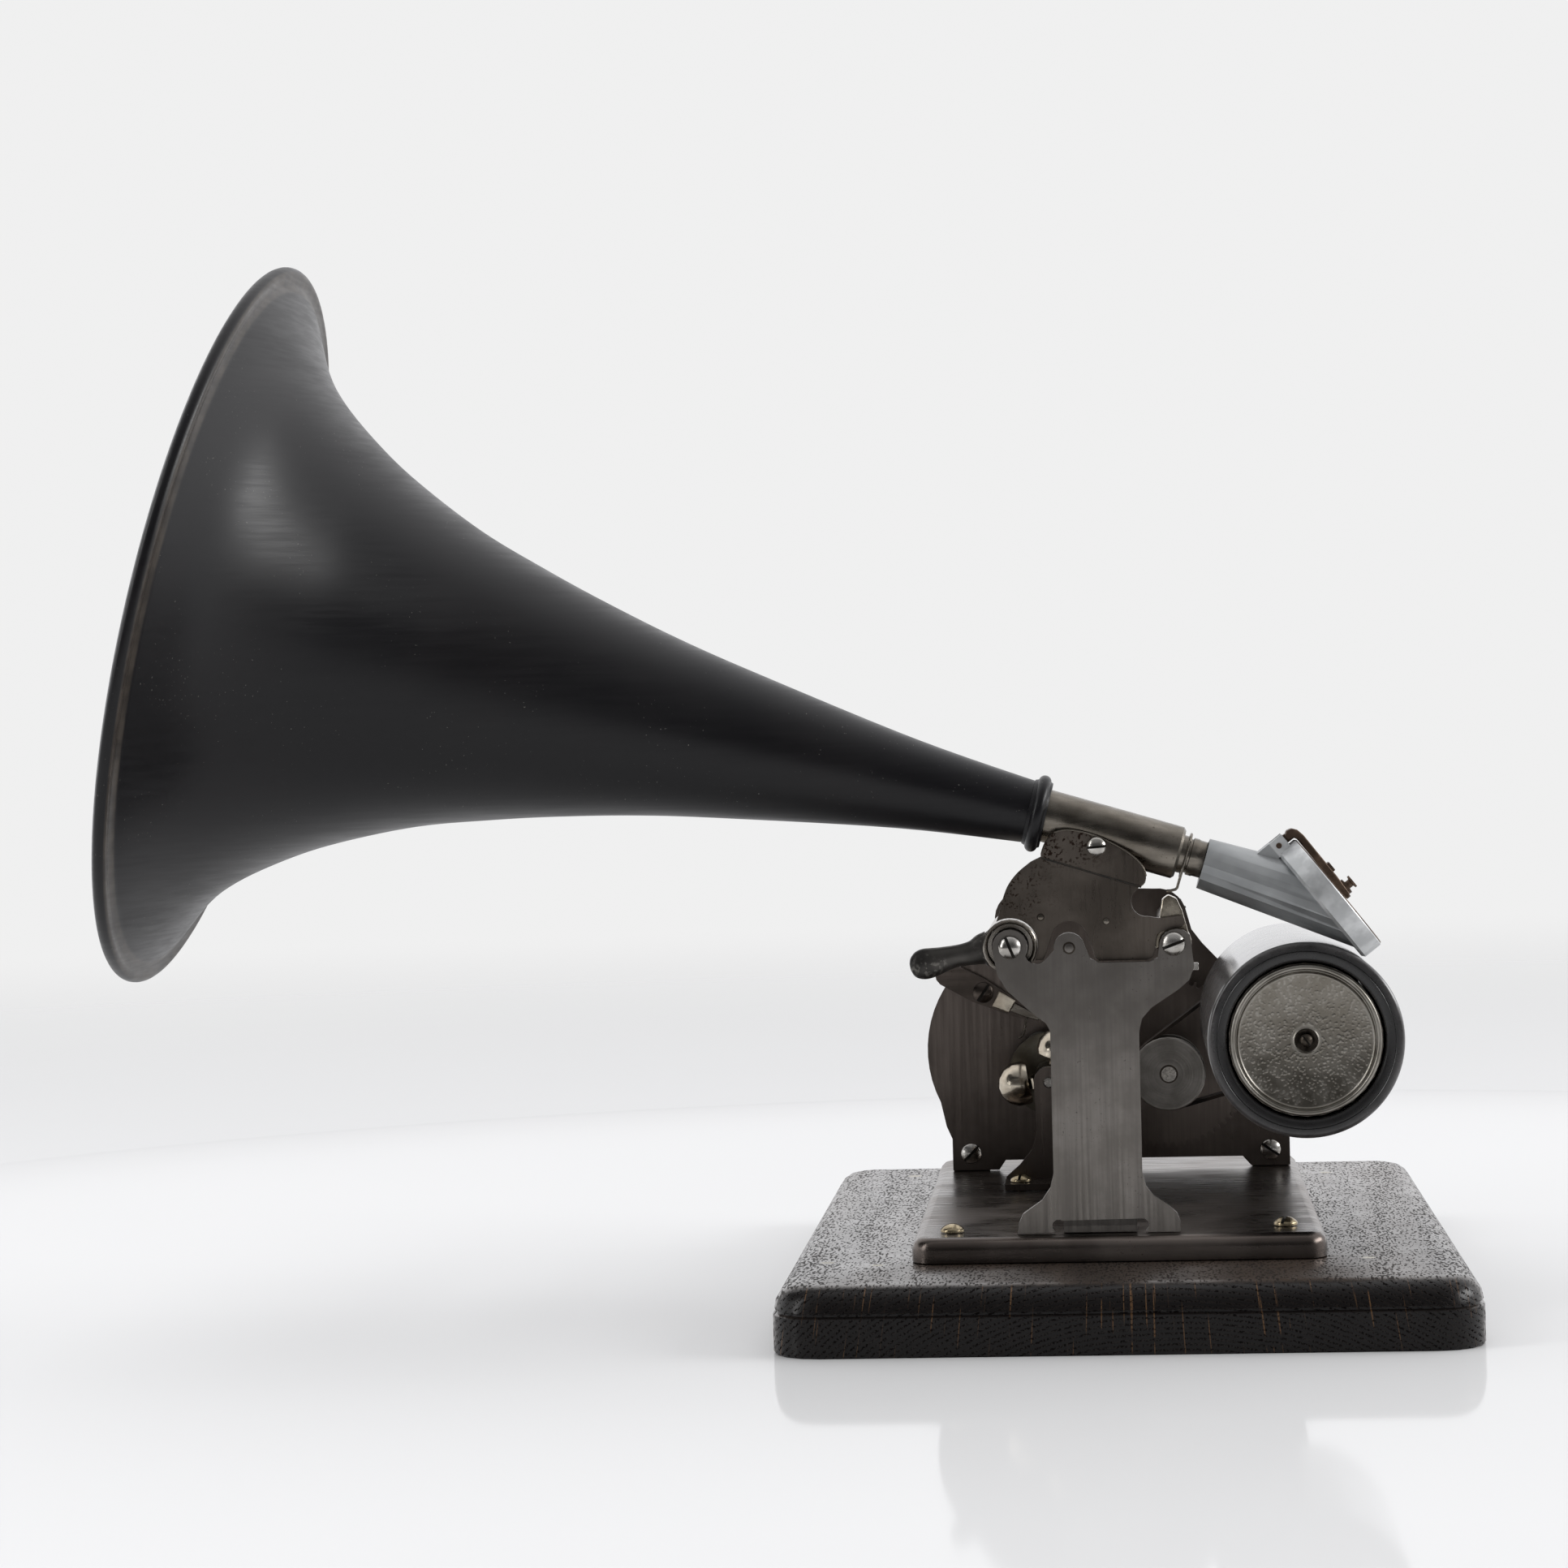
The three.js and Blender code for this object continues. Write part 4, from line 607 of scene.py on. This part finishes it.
def lathe(name, profile, start, way, look, body, steps=96, sharp=SHARP_FROM):
    """[radius, distance] points turned about the line from start along way, closed on itself."""
    way, first, second = side_axes(way)
    verts, faces = [], []
    for radius, distance in profile:
        for i in range(steps):
            turn = 2 * math.pi * i / steps
            out = first * math.cos(turn) + second * math.sin(turn)
            verts.append(Vector(start) + way * distance + out * radius)
    rows = len(profile)
    for row in range(rows):
        after = (row + 1) % rows
        if after == 0 and profile[0][0] == 0 and profile[-1][0] == 0:
            continue
        for i in range(steps):
            k = (i + 1) % steps
            faces.append([row * steps + i, row * steps + k, after * steps + k, after * steps + i])
    return new_piece(name, verts, faces, look, body, sharp)


def smooth_curve(points, steps):
    """A Catmull-Rom curve through points, with steps spans between each pair."""
    ends = [points[0], *points, points[-1]]
    out = []
    for a, b, c, d in zip(ends, ends[1:], ends[2:], ends[3:]):
        for i in range(steps):
            t = i / steps
            out.append(tuple(
                0.5 * (2 * q + (r - p) * t + (2 * p - 5 * q + 4 * r - s) * t * t
                       + (3 * q - p - 3 * r + s) * t ** 3)
                for p, q, r, s in zip(a, b, c, d)
            ))
    return [*out, tuple(points[-1])]


def skin(rows, sides):
    """The faces of a closed tube: rows rings of sides corners each, and a flat cap at each end."""
    faces = []
    for i in range(rows - 1):
        for k in range(sides):
            n = (k + 1) % sides
            faces.append([i * sides + k, i * sides + n, (i + 1) * sides + n, (i + 1) * sides + k])
    faces.append(list(range(sides))[::-1])
    faces.append([(rows - 1) * sides + k for k in range(sides)])
    return faces


def tube(name, path, radius, look, body, sides=12):
    """A round wire along path, with flat ends."""
    points = [Vector(p) for p in path]
    verts = []
    _, first, _ = side_axes(points[1] - points[0])
    for i, point in enumerate(points):
        way = (points[min(i + 1, len(points) - 1)] - points[max(i - 1, 0)]).normalized()
        first = (first - way * first.dot(way)).normalized()
        second = way.cross(first)
        for k in range(sides):
            turn = 2 * math.pi * k / sides
            verts.append(point + (first * math.cos(turn) + second * math.sin(turn)) * radius)
    return new_piece(name, verts, skin(len(points), sides), look, body)


def prism(name, outline, near, far, look, body, edge=0.2):
    """A flat [x, z] outline made solid between two y values, with softly broken edges."""
    count = len(outline)
    verts = [(x, y, z) for y in (near, far) for x, z in outline]
    faces = [list(range(count)), [count + i for i in range(count)][::-1]]
    faces += [[i, (i + 1) % count, count + (i + 1) % count, count + i] for i in range(count)]
    thing = new_piece(name, verts, faces, look, body)
    bevel = thing.modifiers.new("edge", "BEVEL")
    bevel.width, bevel.segments, bevel.limit_method = edge * MM, 2, "ANGLE"
    bevel.angle_limit = math.radians(35)
    flatten_shading(thing)
    return thing


def cut_away(thing, cutter):
    """Cuts one mesh out of another and drops the cutter. Cut faces take the cutter's look."""
    cut = thing.modifiers.new("cut", "BOOLEAN")
    cut.object = cutter
    cut.solver = "EXACT"
    cut.material_mode = "TRANSFER"
    bpy.context.view_layer.update()
    result = thing.evaluated_get(bpy.context.evaluated_depsgraph_get())
    shape = bpy.data.meshes.new_from_object(result)
    thing.modifiers.clear()
    thing.data = shape
    for face in shape.polygons:
        face.use_smooth = True
    shape.set_sharp_from_angle(angle=math.radians(32))
    bpy.data.objects.remove(cutter)


def loose_block(size, matrix):
    """A cutter: a box of full sizes size, placed by matrix, in metres."""
    mesh = bpy.data.meshes.new("cutter")
    work = bmesh.new()
    bmesh.ops.create_cube(work, size=1.0, matrix=matrix @ Matrix.Diagonal((*size, 1.0)))
    work.to_mesh(mesh)
    work.free()
    # The cutter's faces become the slot's walls and take the dark look: dirt and painted shade.
    mesh.materials.append(LOOKS["dirt_and_painted_shade"])
    cutter = bpy.data.objects.new("cutter", mesh)
    SCENE.collection.objects.link(cutter)
    return cutter


def arc(centre, radius, start, stop, steps):
    """Points on a circle between two angles in degrees."""
    turns = [math.radians(start + (stop - start) * i / steps) for i in range(steps + 1)]
    return [(centre[0] + radius * math.cos(t), centre[1] + radius * math.sin(t)) for t in turns]


# ---------- horn ----------

# The bell's outside: how far from the seat, and its radius there.
HORN_CURVE = [
    (0, 8.9), (40, 13.4), (88, 21.5), (115, 26.7), (140, 32.8), (160, 38.5), (180, 45), (200, 54),
    (215, 62.5), (231, 74.5), (241, 86.5), (251.2, 106.3),
]
HORN_WALL = 0.6


def add_horn():
    """The spun bell with its rolled wired rim, and the beaded ring at its small end."""
    along = smooth_curve(HORN_CURVE, 6)
    outside = [(radius, distance) for distance, radius in along]
    inside = [(radius - HORN_WALL, distance) for distance, radius in along]
    mouth_at, mouth = HORN_CURVE[-1]
    rim = arc((mouth + HORN_WALL, mouth_at + HORN_WALL), 2.1, -110, 150, 14)
    profile = [*outside[:-1], *rim, *inside[:-1][::-1]]
    bell = lathe("horn_spun_bell", profile, HORN_SEAT, HORN_WAY, "japan", "horn",
                 steps=192)
    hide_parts("horn_bell")
    bead = arc((9.6, 0.8), 1.9, -80, 80, 12)
    ring = [(9.25, -1.6), (9.6, -1.7), *bead, (9.6, 3.6), (9.25, 3.7)]
    collar = lathe("horn_beaded_ring", ring, HORN_SEAT, HORN_WAY, "japan", "horn")
    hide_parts("horn_collar")


# ---------- record and mandrel ----------

RECORD_BORE = 22.8
RECORD_REAR_BORE = 23.8


def box_in_mm(node):
    """A CAD node's lowest and highest corners, in millimetres."""
    return [Vector(corner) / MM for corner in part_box(node)]


def add_record():
    """The hollow wax cylinder, with a rounded outer edge and a fine ring on its front face."""
    low, high = box_in_mm("record")
    front, rear, outer, bore = low.y, high.y, (high.x - low.x) / 2, RECORD_BORE
    edge = arc((outer - 1.5, front + 1.5), 1.5, -90, 0, 8)
    profile = [
        (bore, front + 1.4), (bore + 0.2, front + 0.7), (bore + 0.7, front + 0.25),
        (bore + 1.4, front), (bore + 2.8, front), (bore + 3.0, front + 0.16), (bore + 3.2, front),
        *edge, (outer, rear - 1), (outer - 1, rear), (RECORD_REAR_BORE, rear),
    ]
    thing = lathe("grooved_record", profile, MANDREL, ALONG_Y, "wax", "record", 160, 30)
    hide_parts("record")


def add_mandrel_cap():
    """The stamped end cap: a rolled edge and two fine rings round a sheet pierced for the screw."""
    low, high = box_in_mm("mandrel_cap")
    front, outer = low.y, (high.x - low.x) / 2
    edge = arc((outer - 0.8, front + 0.8), 0.8, 0, -180, 10)
    profile = [
        (1.95, front + 2.4), (outer, front + 2.4), *edge, (outer - 1.9, front + 0.95),
        (outer - 2.2, front + 0.6), (outer - 2.5, front + 0.95), (outer - 2.7, front + 1.05),
        (3.9, front + 1.05), (3.5, front + 0.8), (3.2, front + 1.0), (2.9, front + 1.6),
        (1.95, front + 1.7),
    ]
    thing = lathe("stamped_end_cap", profile, MANDREL, ALONG_Y, "cap", "mandrel", 128, 30)
    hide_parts("mandrel_cap")
    well = [(1.6, front + 1.5), (3.05, front + 1.15), (3.3, front + 1.0), (3.3, front + 1.3),
            (1.6, front + 2.2)]
    lathe("cap_screw_well", well, MANDREL, ALONG_Y, "dark_screw", "mandrel", 64)


# ---------- screws ----------

# Each screw: its look, body, record slot, head height, slot angle in degrees, and whether it
# stands upright, with its head on top.
SCREWS = {
    "guide_rod_screw": ("screw", "base", "bright_steel", 2.0, 68, False),
    "feed_pivot_screw": ("screw", "base", "bright_steel", 2.0, -20, False),
    "tube_screw": ("screw", "carriage", "bright_steel", 1.7, -4, False),
    "rear_screw_1": ("screw", "base", "bright_steel", 1.8, -45, False),
    "rear_screw_2": ("screw", "base", "bright_steel", 1.8, 35, False),
    "strap_screw": ("strap", "base", "bright_steel", 1.6, -55, False),
    "bed_screw_1": ("brass_screw", "base", "brass_screw", 2.4, 12, True),
    "bed_screw_2": ("brass_screw", "base", "brass_screw", 2.4, 70, True),
    "bed_screw_3": ("brass_screw", "base", "brass_screw", 2.4, 40, True),
    "bed_screw_4": ("brass_screw", "base", "brass_screw", 2.4, -30, True),
    "middle_screw_1": ("brass_screw", "base", "brass_screw", 2.2, 80, True),
    "middle_screw_2": ("brass_screw", "base", "brass_screw", 2.2, 25, True),
    "mandrel_screw": ("dark_screw", "mandrel", "brown_steel", 1.4, 55, False),
}

# Heads that are smaller than the CAD's plain ones, as a share of their radius.
HEAD_TRIM = {
    "guide_rod_screw": 0.78, "feed_pivot_screw": 0.78, "tube_screw": 0.78, "mandrel_screw": 0.5,
}

# The slot's width as a share of the head's radius, and its depth as a share of the head's height.
SLOT_WIDTH = 0.26
SLOT_DEPTH = 0.75
# How much of the head's height is domed, and the shank's radius as a share of the head's.
DOME = 0.72
SHANK = 0.45


def add_screw(node, look, body, slot, height, turn, upright):
    """A domed head with a softened rim and a milled slot over a short shank, as the CAD screw lies."""
    low, high = box_in_mm(node)
    middle = (low + high) / 2
    head = (high.x - low.x) / 2 * HEAD_TRIM.get(node, 1.0)
    dome, shank = DOME * height, SHANK * head
    across, width, depth = 2.4 * head * MM, SLOT_WIDTH * head * MM, 2 * SLOT_DEPTH * height * MM
    if upright:
        way, start = Vector((0, 0, -1)), Vector((middle.x, middle.y, high.z))
        length, axis, size = high.z - low.z, "Z", (across, width, depth)
    else:
        way, start = Vector((0, 1, 0)), Vector((middle.x, low.y, middle.z))
        length, axis, size = high.y - low.y, "Y", (across, depth, width)
    ball = (head * head + dome * dome) / (2 * dome)
    profile = [(0.0, 0.0)]
    for i in range(1, 9):
        radius = head * i / 8 * 0.98
        profile.append((radius, ball - math.sqrt(ball * ball - radius * radius)))
    profile += [(head, dome + 0.12), (head, height), (shank, height), (shank, length), (0.0, length)]
    thing = lathe(f"{node}_head", profile, start, way, look, body, 40, 32)
    spin = Matrix.Rotation(math.radians(turn), 4, axis)
    cut_away(thing, loose_block(size, Matrix.Translation(start * MM) @ spin))
    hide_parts(node)


# ---------- small pieces on the plates and the carriage ----------


def add_rivet(name, x, face, z, radius, height, look, body):
    """A low rivet head in a dark ring, standing out of a plate's front face."""
    head = [(0.001, 0.3), (radius, 0.3), (radius, -height * 0.6), (radius * 0.7, -height),
            (0.001, -height)]
    lathe(name, head, (x, face, z), ALONG_Y, look, body, 40)
    inner, outer = radius * 0.9, radius * 1.4
    ring = [(inner, 0.3), (outer, 0.3), (outer, -0.06), (inner, -0.06)]
    lathe(f"{name}_ring", ring, (x, face, z), ALONG_Y, "dark_screw", body, 40)


def add_carriage_plate():
    """The carriage's side: a flat sheet, and above its crease a curled lobe that hugs the tube."""
    flat = [
        *arc((GUIDE_ROD[0], GUIDE_ROD[2]), 8.3, 118, -30, 18), (-21.6, 107.2), (-20.6, 109.6),
        *arc((-13.9, 113.2), 5.2, 170, 10, 14), (-7.6, 111.6), (-7.0, 109.4), (-6.4, 107.4),
        (-5.4, 106.6), (8.6, 106.6), (10.2, 107.4), (11.0, 109.4), (11.3, 112.2), (11.8, 114.0),
        (13.4, 114.9), (17.6, 115.8), *arc((18, 117.6), 1.8, -80, 80, 8), (12.6, 118.7), (8.8, 119.3),
        *arc((8.7, 123.6), 4.35, 268, 140, 12), (7.3, 128.3), (-21.6, 137.4),
        *smooth_curve([(-24.6, 136.0), (-28.6, 132.8), (-31.6, 128.9), (-33.4, 124.2)], 4),
        (-34.2, 121.0), (-35.0, 118.9),
    ]
    crown = [
        (7.3, 127.9), (8.5, 129.0), (8.9, 131.0), (8.2, 133.4), (5.9, 136.3), (2.0, 139.2),
        (-3.5, 142.2), (-9.0, 144.2), (-14.0, 145.0), (-17.6, 144.4), (-20.2, 141.8), (-21.6, 138.4),
        (-21.4, 136.9),
    ]
    front = CARRIAGE_FACE - LOBE_PROUD
    sheet = prism("carriage_sheet", flat, CARRIAGE_FACE, CARRIAGE_FACE + CARRIAGE_SHEET, "carriage",
                  "carriage", 0.3)
    leaf = prism("carriage_lobe", smooth_curve(crown, 3), front, front + CARRIAGE_SHEET, "carriage",
                 "carriage", 0.7)
    tube_space = [(0.0, -30), (8.0, -30), (8.0, 70), (0.0, 70)]
    for thing in (sheet, leaf):
        cutter = lathe("cutter", tube_space, HORN_SEAT, TUBE_WAY, "carriage", "carriage",
                       64)
        cut_away(thing, cutter)
        flatten_shading(thing)
    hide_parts("carriage_plate")
    crease = [(x, front - 0.1, z - 0.35) for x, z in ((-21.4, 137.4), (-7.0, 132.8), (7.4, 128.2))]
    # Painted shadow: a dark wire just below the proud lobe's lower edge, along the crease.
    tube("carriage_crease_shadow", crease, 0.28, "dirt_and_painted_shade", "carriage")
    # A lighter nickel wire along the lobe's top edge: a worn edge and a painted highlight.
    lip = smooth_curve([(x, front + 0.15, z) for x, z in crown[2:10]], 4)
    tube("carriage_lobe_lip_highlight", lip, 0.24, "nickel", "carriage")


def add_lift_lever():
    """The cast lever: an oval neck that swells into a rounded grip."""
    # x, z, half the height and half the thickness along the lever
    spine = [
        (-38.2, 110.6, 5.2, 2.8), (-39.6, 110.4, 4.6, 2.8), (-42.0, 109.6, 3.7, 2.7),
        (-45.0, 109.0, 3.3, 2.6), (-48.0, 108.5, 3.3, 2.6), (-51.0, 107.8, 3.7, 2.7),
        (-54.0, 107.0, 4.3, 2.8), (-56.6, 106.5, 4.5, 2.8), (-58.8, 106.1, 3.9, 2.5),
        (-60.2, 105.9, 2.6, 1.8), (-60.8, 105.8, 1.0, 0.8),
    ]
    path = smooth_curve(spine, 4)
    sides, middle = 28, -90.0  # corners in each ring, and the lever's y
    verts = []
    for i, (x, z, half, thick) in enumerate(path):
        ahead, behind = path[min(i + 1, len(path) - 1)], path[max(i - 1, 0)]
        way = Vector((ahead[0] - behind[0], 0, ahead[1] - behind[1])).normalized()
        across = Vector((-way.z, 0, way.x))
        for k in range(sides):
            turn = 2 * math.pi * k / sides
            verts.append(Vector((x, middle, z)) + across * half * math.cos(turn)
                         + Vector((0, thick * math.sin(turn), 0)))
    faces = skin(len(path), sides)
    thing = new_piece("lift_grip", verts, faces, "casting", "carriage")
    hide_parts("lift_lever")


# How far along the tube the clip lies, and the radii of its ring and its wire.
CLIP_AT = 44.2
CLIP_RING = 6.35
CLIP_WIRE = 0.42


def add_wire_clip():
    """The sprung wire that rings the reproducer's neck and hooks down behind the half nut."""
    centre = Vector(HORN_SEAT) + TUBE_WAY * CLIP_AT
    side = Vector(ALONG_Y)
    across = TUBE_WAY.cross(side).normalized()
    ring = [tuple(centre + across * p + side * q) for p, q in arc((0, 0), CLIP_RING, -60, 240, 28)]
    down = [(18.4, -90.6, 129.0), (17.4, -90.8, 126.8), (14.8, -90.4, 126.4)]
    path = smooth_curve([*ring[::-1], *down], 2)
    tube("neck_wire_clip", path, CLIP_WIRE, "nickel", "carriage")


STRAP_SCREW = (-44.8, 87)
STRAP_TILT = math.radians(-28)


def on_strap(points):
    """Turns points given along the strap and across it, from its screw, into [x, z] points."""
    x, z = STRAP_SCREW
    cos, sin = math.cos(STRAP_TILT), math.sin(STRAP_TILT)
    return [(x + p * cos - q * sin, z + p * sin + q * cos) for p, q in points]


def add_strap_details():
    """The bent nickel clip, the leaf tip and the thin wire hook at the speed strap's end."""
    clip = on_strap([(4.6, -2.7), (10.6, -2.1), (10.8, 2.5), (4.4, 2.9)])
    prism("strap_clip", clip, 62.2, 63.7, "bright_nickel", "strap", 0.3)
    tip = on_strap([(10.8, -1.3), (15.6, -0.9), (20.4, 0.1), (20.4, 1.0), (15.4, 1.5), (10.8, 1.6)])
    prism("strap_leaf", tip, 61.6, 62.6, "nickel", "strap")
    hook = [(-30.4, 61.4, 78.4), (-31.0, 61.0, 76.4), (-31.4, 60.8, 74.0), (-32.4, 60.8, 72.4),
            (-33.4, 60.8, 71.8)]
    tube("strap_wire_hook", smooth_curve(hook, 4), 0.32, "nickel", "strap")


def add_reproducer_details():
    """The hinge pin, the gasket ring round the diaphragm and the folded cover of the stylus bar."""
    out, centre = Vector(DISC_OUT), Vector(DISC_CENTRE)
    pin = centre - DISC_DOWN * 21.4 - out * 1.4
    profile = [(0.001, 0), (0.7, 0), (0.85, 0.15), (0.85, 1.0), (0.001, 1.0)]
    for name, side in (("hinge_pin_front", -1), ("hinge_pin_rear", 1)):
        start = pin + Vector((0, side * 5.5, 0))
        lathe(name, profile, start, (0, -side, 0), "brown", "reproducer", 24)
    # the cover's section: how far down the disc, and how far out of it
    fold = [
        (-22.4, 1.7), (-23.3, 3.0), (-22.9, 4.6), (-21.4, 5.7), (-19.2, 6.1), (-4.0, 6.0), (2.4, 5.7),
        (3.2, 5.0), (3.2, 3.9), (-19.2, 3.9), (-20.4, 3.4), (-20.7, 1.7),
    ]
    corners = [centre + DISC_DOWN * p + out * q for p, q in fold]
    prism("stylus_bar_cover", [(c.x, c.z) for c in corners], -88.4, -82.4, "brown", "stylus_bar",
          0.35)
    gasket = [(17.3, 3.3), (17.5, 3.62), (19.3, 3.62), (19.5, 3.3)]
    lathe("diaphragm_gasket", gasket, centre, out, "brown", "reproducer")


def add_plate_details():
    """The rivets, the drive shaft's end, and the square stud that stands out beside the front plate."""
    add_rivet("lobe_stud", -14.0, FRONT_PLATE_FACE, 110.8, 1.3, 0.35, "plate", "base")
    stud = [(20.8, 103.5), (23.4, 103.5), (23.4, 105.7), (20.8, 105.7)]
    prism("square_stud", stud, -98.5, -96.9, "screw", "base")
    add_rivet("carriage_rivet_1", -22.1, CARRIAGE_FACE, 119.7, 0.8, 0.25, "nickel", "carriage")
    add_rivet("carriage_rivet_2", -3.0, CARRIAGE_FACE, 118.1, 0.8, 0.25, "nickel", "carriage")
    x, _, z = DRIVE_SHAFT
    add_rivet("pulley_shaft_end", x, PULLEY_FACE, z, 2.1, 0.5, "pulley", "drive")


# ---------- floor, world and lights ----------

# All in metres: the floor's radius, where it fades into the room, and where its faint mirror ends.
FLOOR_RADIUS = 6.0
FLOOR_FADE = (0.45, 2.2)
FLOOR_MIRROR = (0.42, 0.62)


def add_floor():
    """A pale glossy disc that mirrors the machine faintly and fades away round it."""
    steps = 64
    turns = [2 * math.pi * i / steps for i in range(steps)]
    ring = [(FLOOR_RADIUS * math.cos(t), FLOOR_RADIUS * math.sin(t), 0) for t in turns]
    mesh = bpy.data.meshes.new("floor")
    mesh.from_pydata(ring, [], [list(range(steps))])
    floor = bpy.data.objects.new("floor", mesh)
    SCENE.collection.objects.link(floor)
    g = Graph("pale_floor", Roughness=0.06)
    away = g.radius((0, 0, 0), (1, 1, 0))
    g.feed(g.shader.inputs["Specular IOR Level"], g.band(away, *FLOOR_MIRROR, 0.02, 0.0))
    g.feed(g.shader.inputs["Alpha"], g.band(away, *FLOOR_FADE, 1.0, 0.0))
    colour = g.mix(g.noise(3, 2), (0.655, 0.656, 0.66), (0.67, 0.671, 0.675))
    mesh.materials.append(g.finish(colour))


def add_world():
    """A pale studio: light from behind, above and the sides, and a darker room behind the camera."""
    world = bpy.data.worlds.new("studio")
    SCENE.world = world
    world.use_nodes = True
    n = Nodes(world.node_tree, "Generated")
    _, back, up = n.axes()
    behind = n.band(back, -0.7, 0.3, 0.09, 1.10)
    above = n.band(up, 0.15, 0.95, 0.0, 0.36)
    room = n.add("ShaderNodeBackground", Color=(0.985, 0.985, 1.0, 1))
    n.link(n.most(behind, above), room.inputs["Strength"])
    seen = n.add("ShaderNodeBackground", Color=(0.87, 0.87, 0.87, 1))
    both = n.add("ShaderNodeMixShader")
    n.link(n.add("ShaderNodeLightPath").outputs["Is Camera Ray"], both.inputs[0])
    n.link(room.outputs[0], both.inputs[1])
    n.link(seen.outputs[0], both.inputs[2])
    n.link(both.outputs[0], n.add("ShaderNodeOutputWorld").inputs[0])


def add_light(name, place, target, size, power):
    """A rectangular lamp that faces its target. All in metres and watts."""
    data = bpy.data.lights.new(name, "AREA")
    data.shape, data.size, data.size_y = "RECTANGLE", *size
    data.energy = power
    lamp = bpy.data.objects.new(name, data)
    SCENE.collection.objects.link(lamp)
    lamp.location = place
    lamp.rotation_euler = (Vector(target) - Vector(place)).to_track_quat("-Z", "Y").to_euler()
    return lamp


def add_lights():
    """Three wide fills that leave no highlight, and a narrow and a wide softbox that do."""
    fills = (
        add_light("overhead", (-0.1, 0.2, 1.9), (-0.05, 0.05, 0.1), (3.0, 2.4), 10.5),
        add_light("front_fill", (0, -2.2, 1.4), (0, 0, 0.1), (3.0, 2.0), 13.5),
        add_light("left_fill", (-2.4, 0.2, 1.5), (-0.1, 0, 0.1), (2.4, 1.6), 11),
    )
    for lamp in fills:
        lamp.visible_glossy = False
    add_light("left_box", (-1.4, -0.7, 0.75), (-0.1, 0, 0.12), (0.32, 1.2), 7)
    add_light("right_box", (2.2, -0.2, 1.03), (-0.1, -0.1, 0.2), (1.9, 0.7), 32)


dress_cad_nodes()
add_horn()
add_record()
add_mandrel_cap()
for screw, facts in SCREWS.items():
    add_screw(screw, *facts)
add_carriage_plate()
add_lift_lever()
add_plate_details()
add_wire_clip()
add_strap_details()
add_reproducer_details()
add_floor()
add_world()
add_lights()
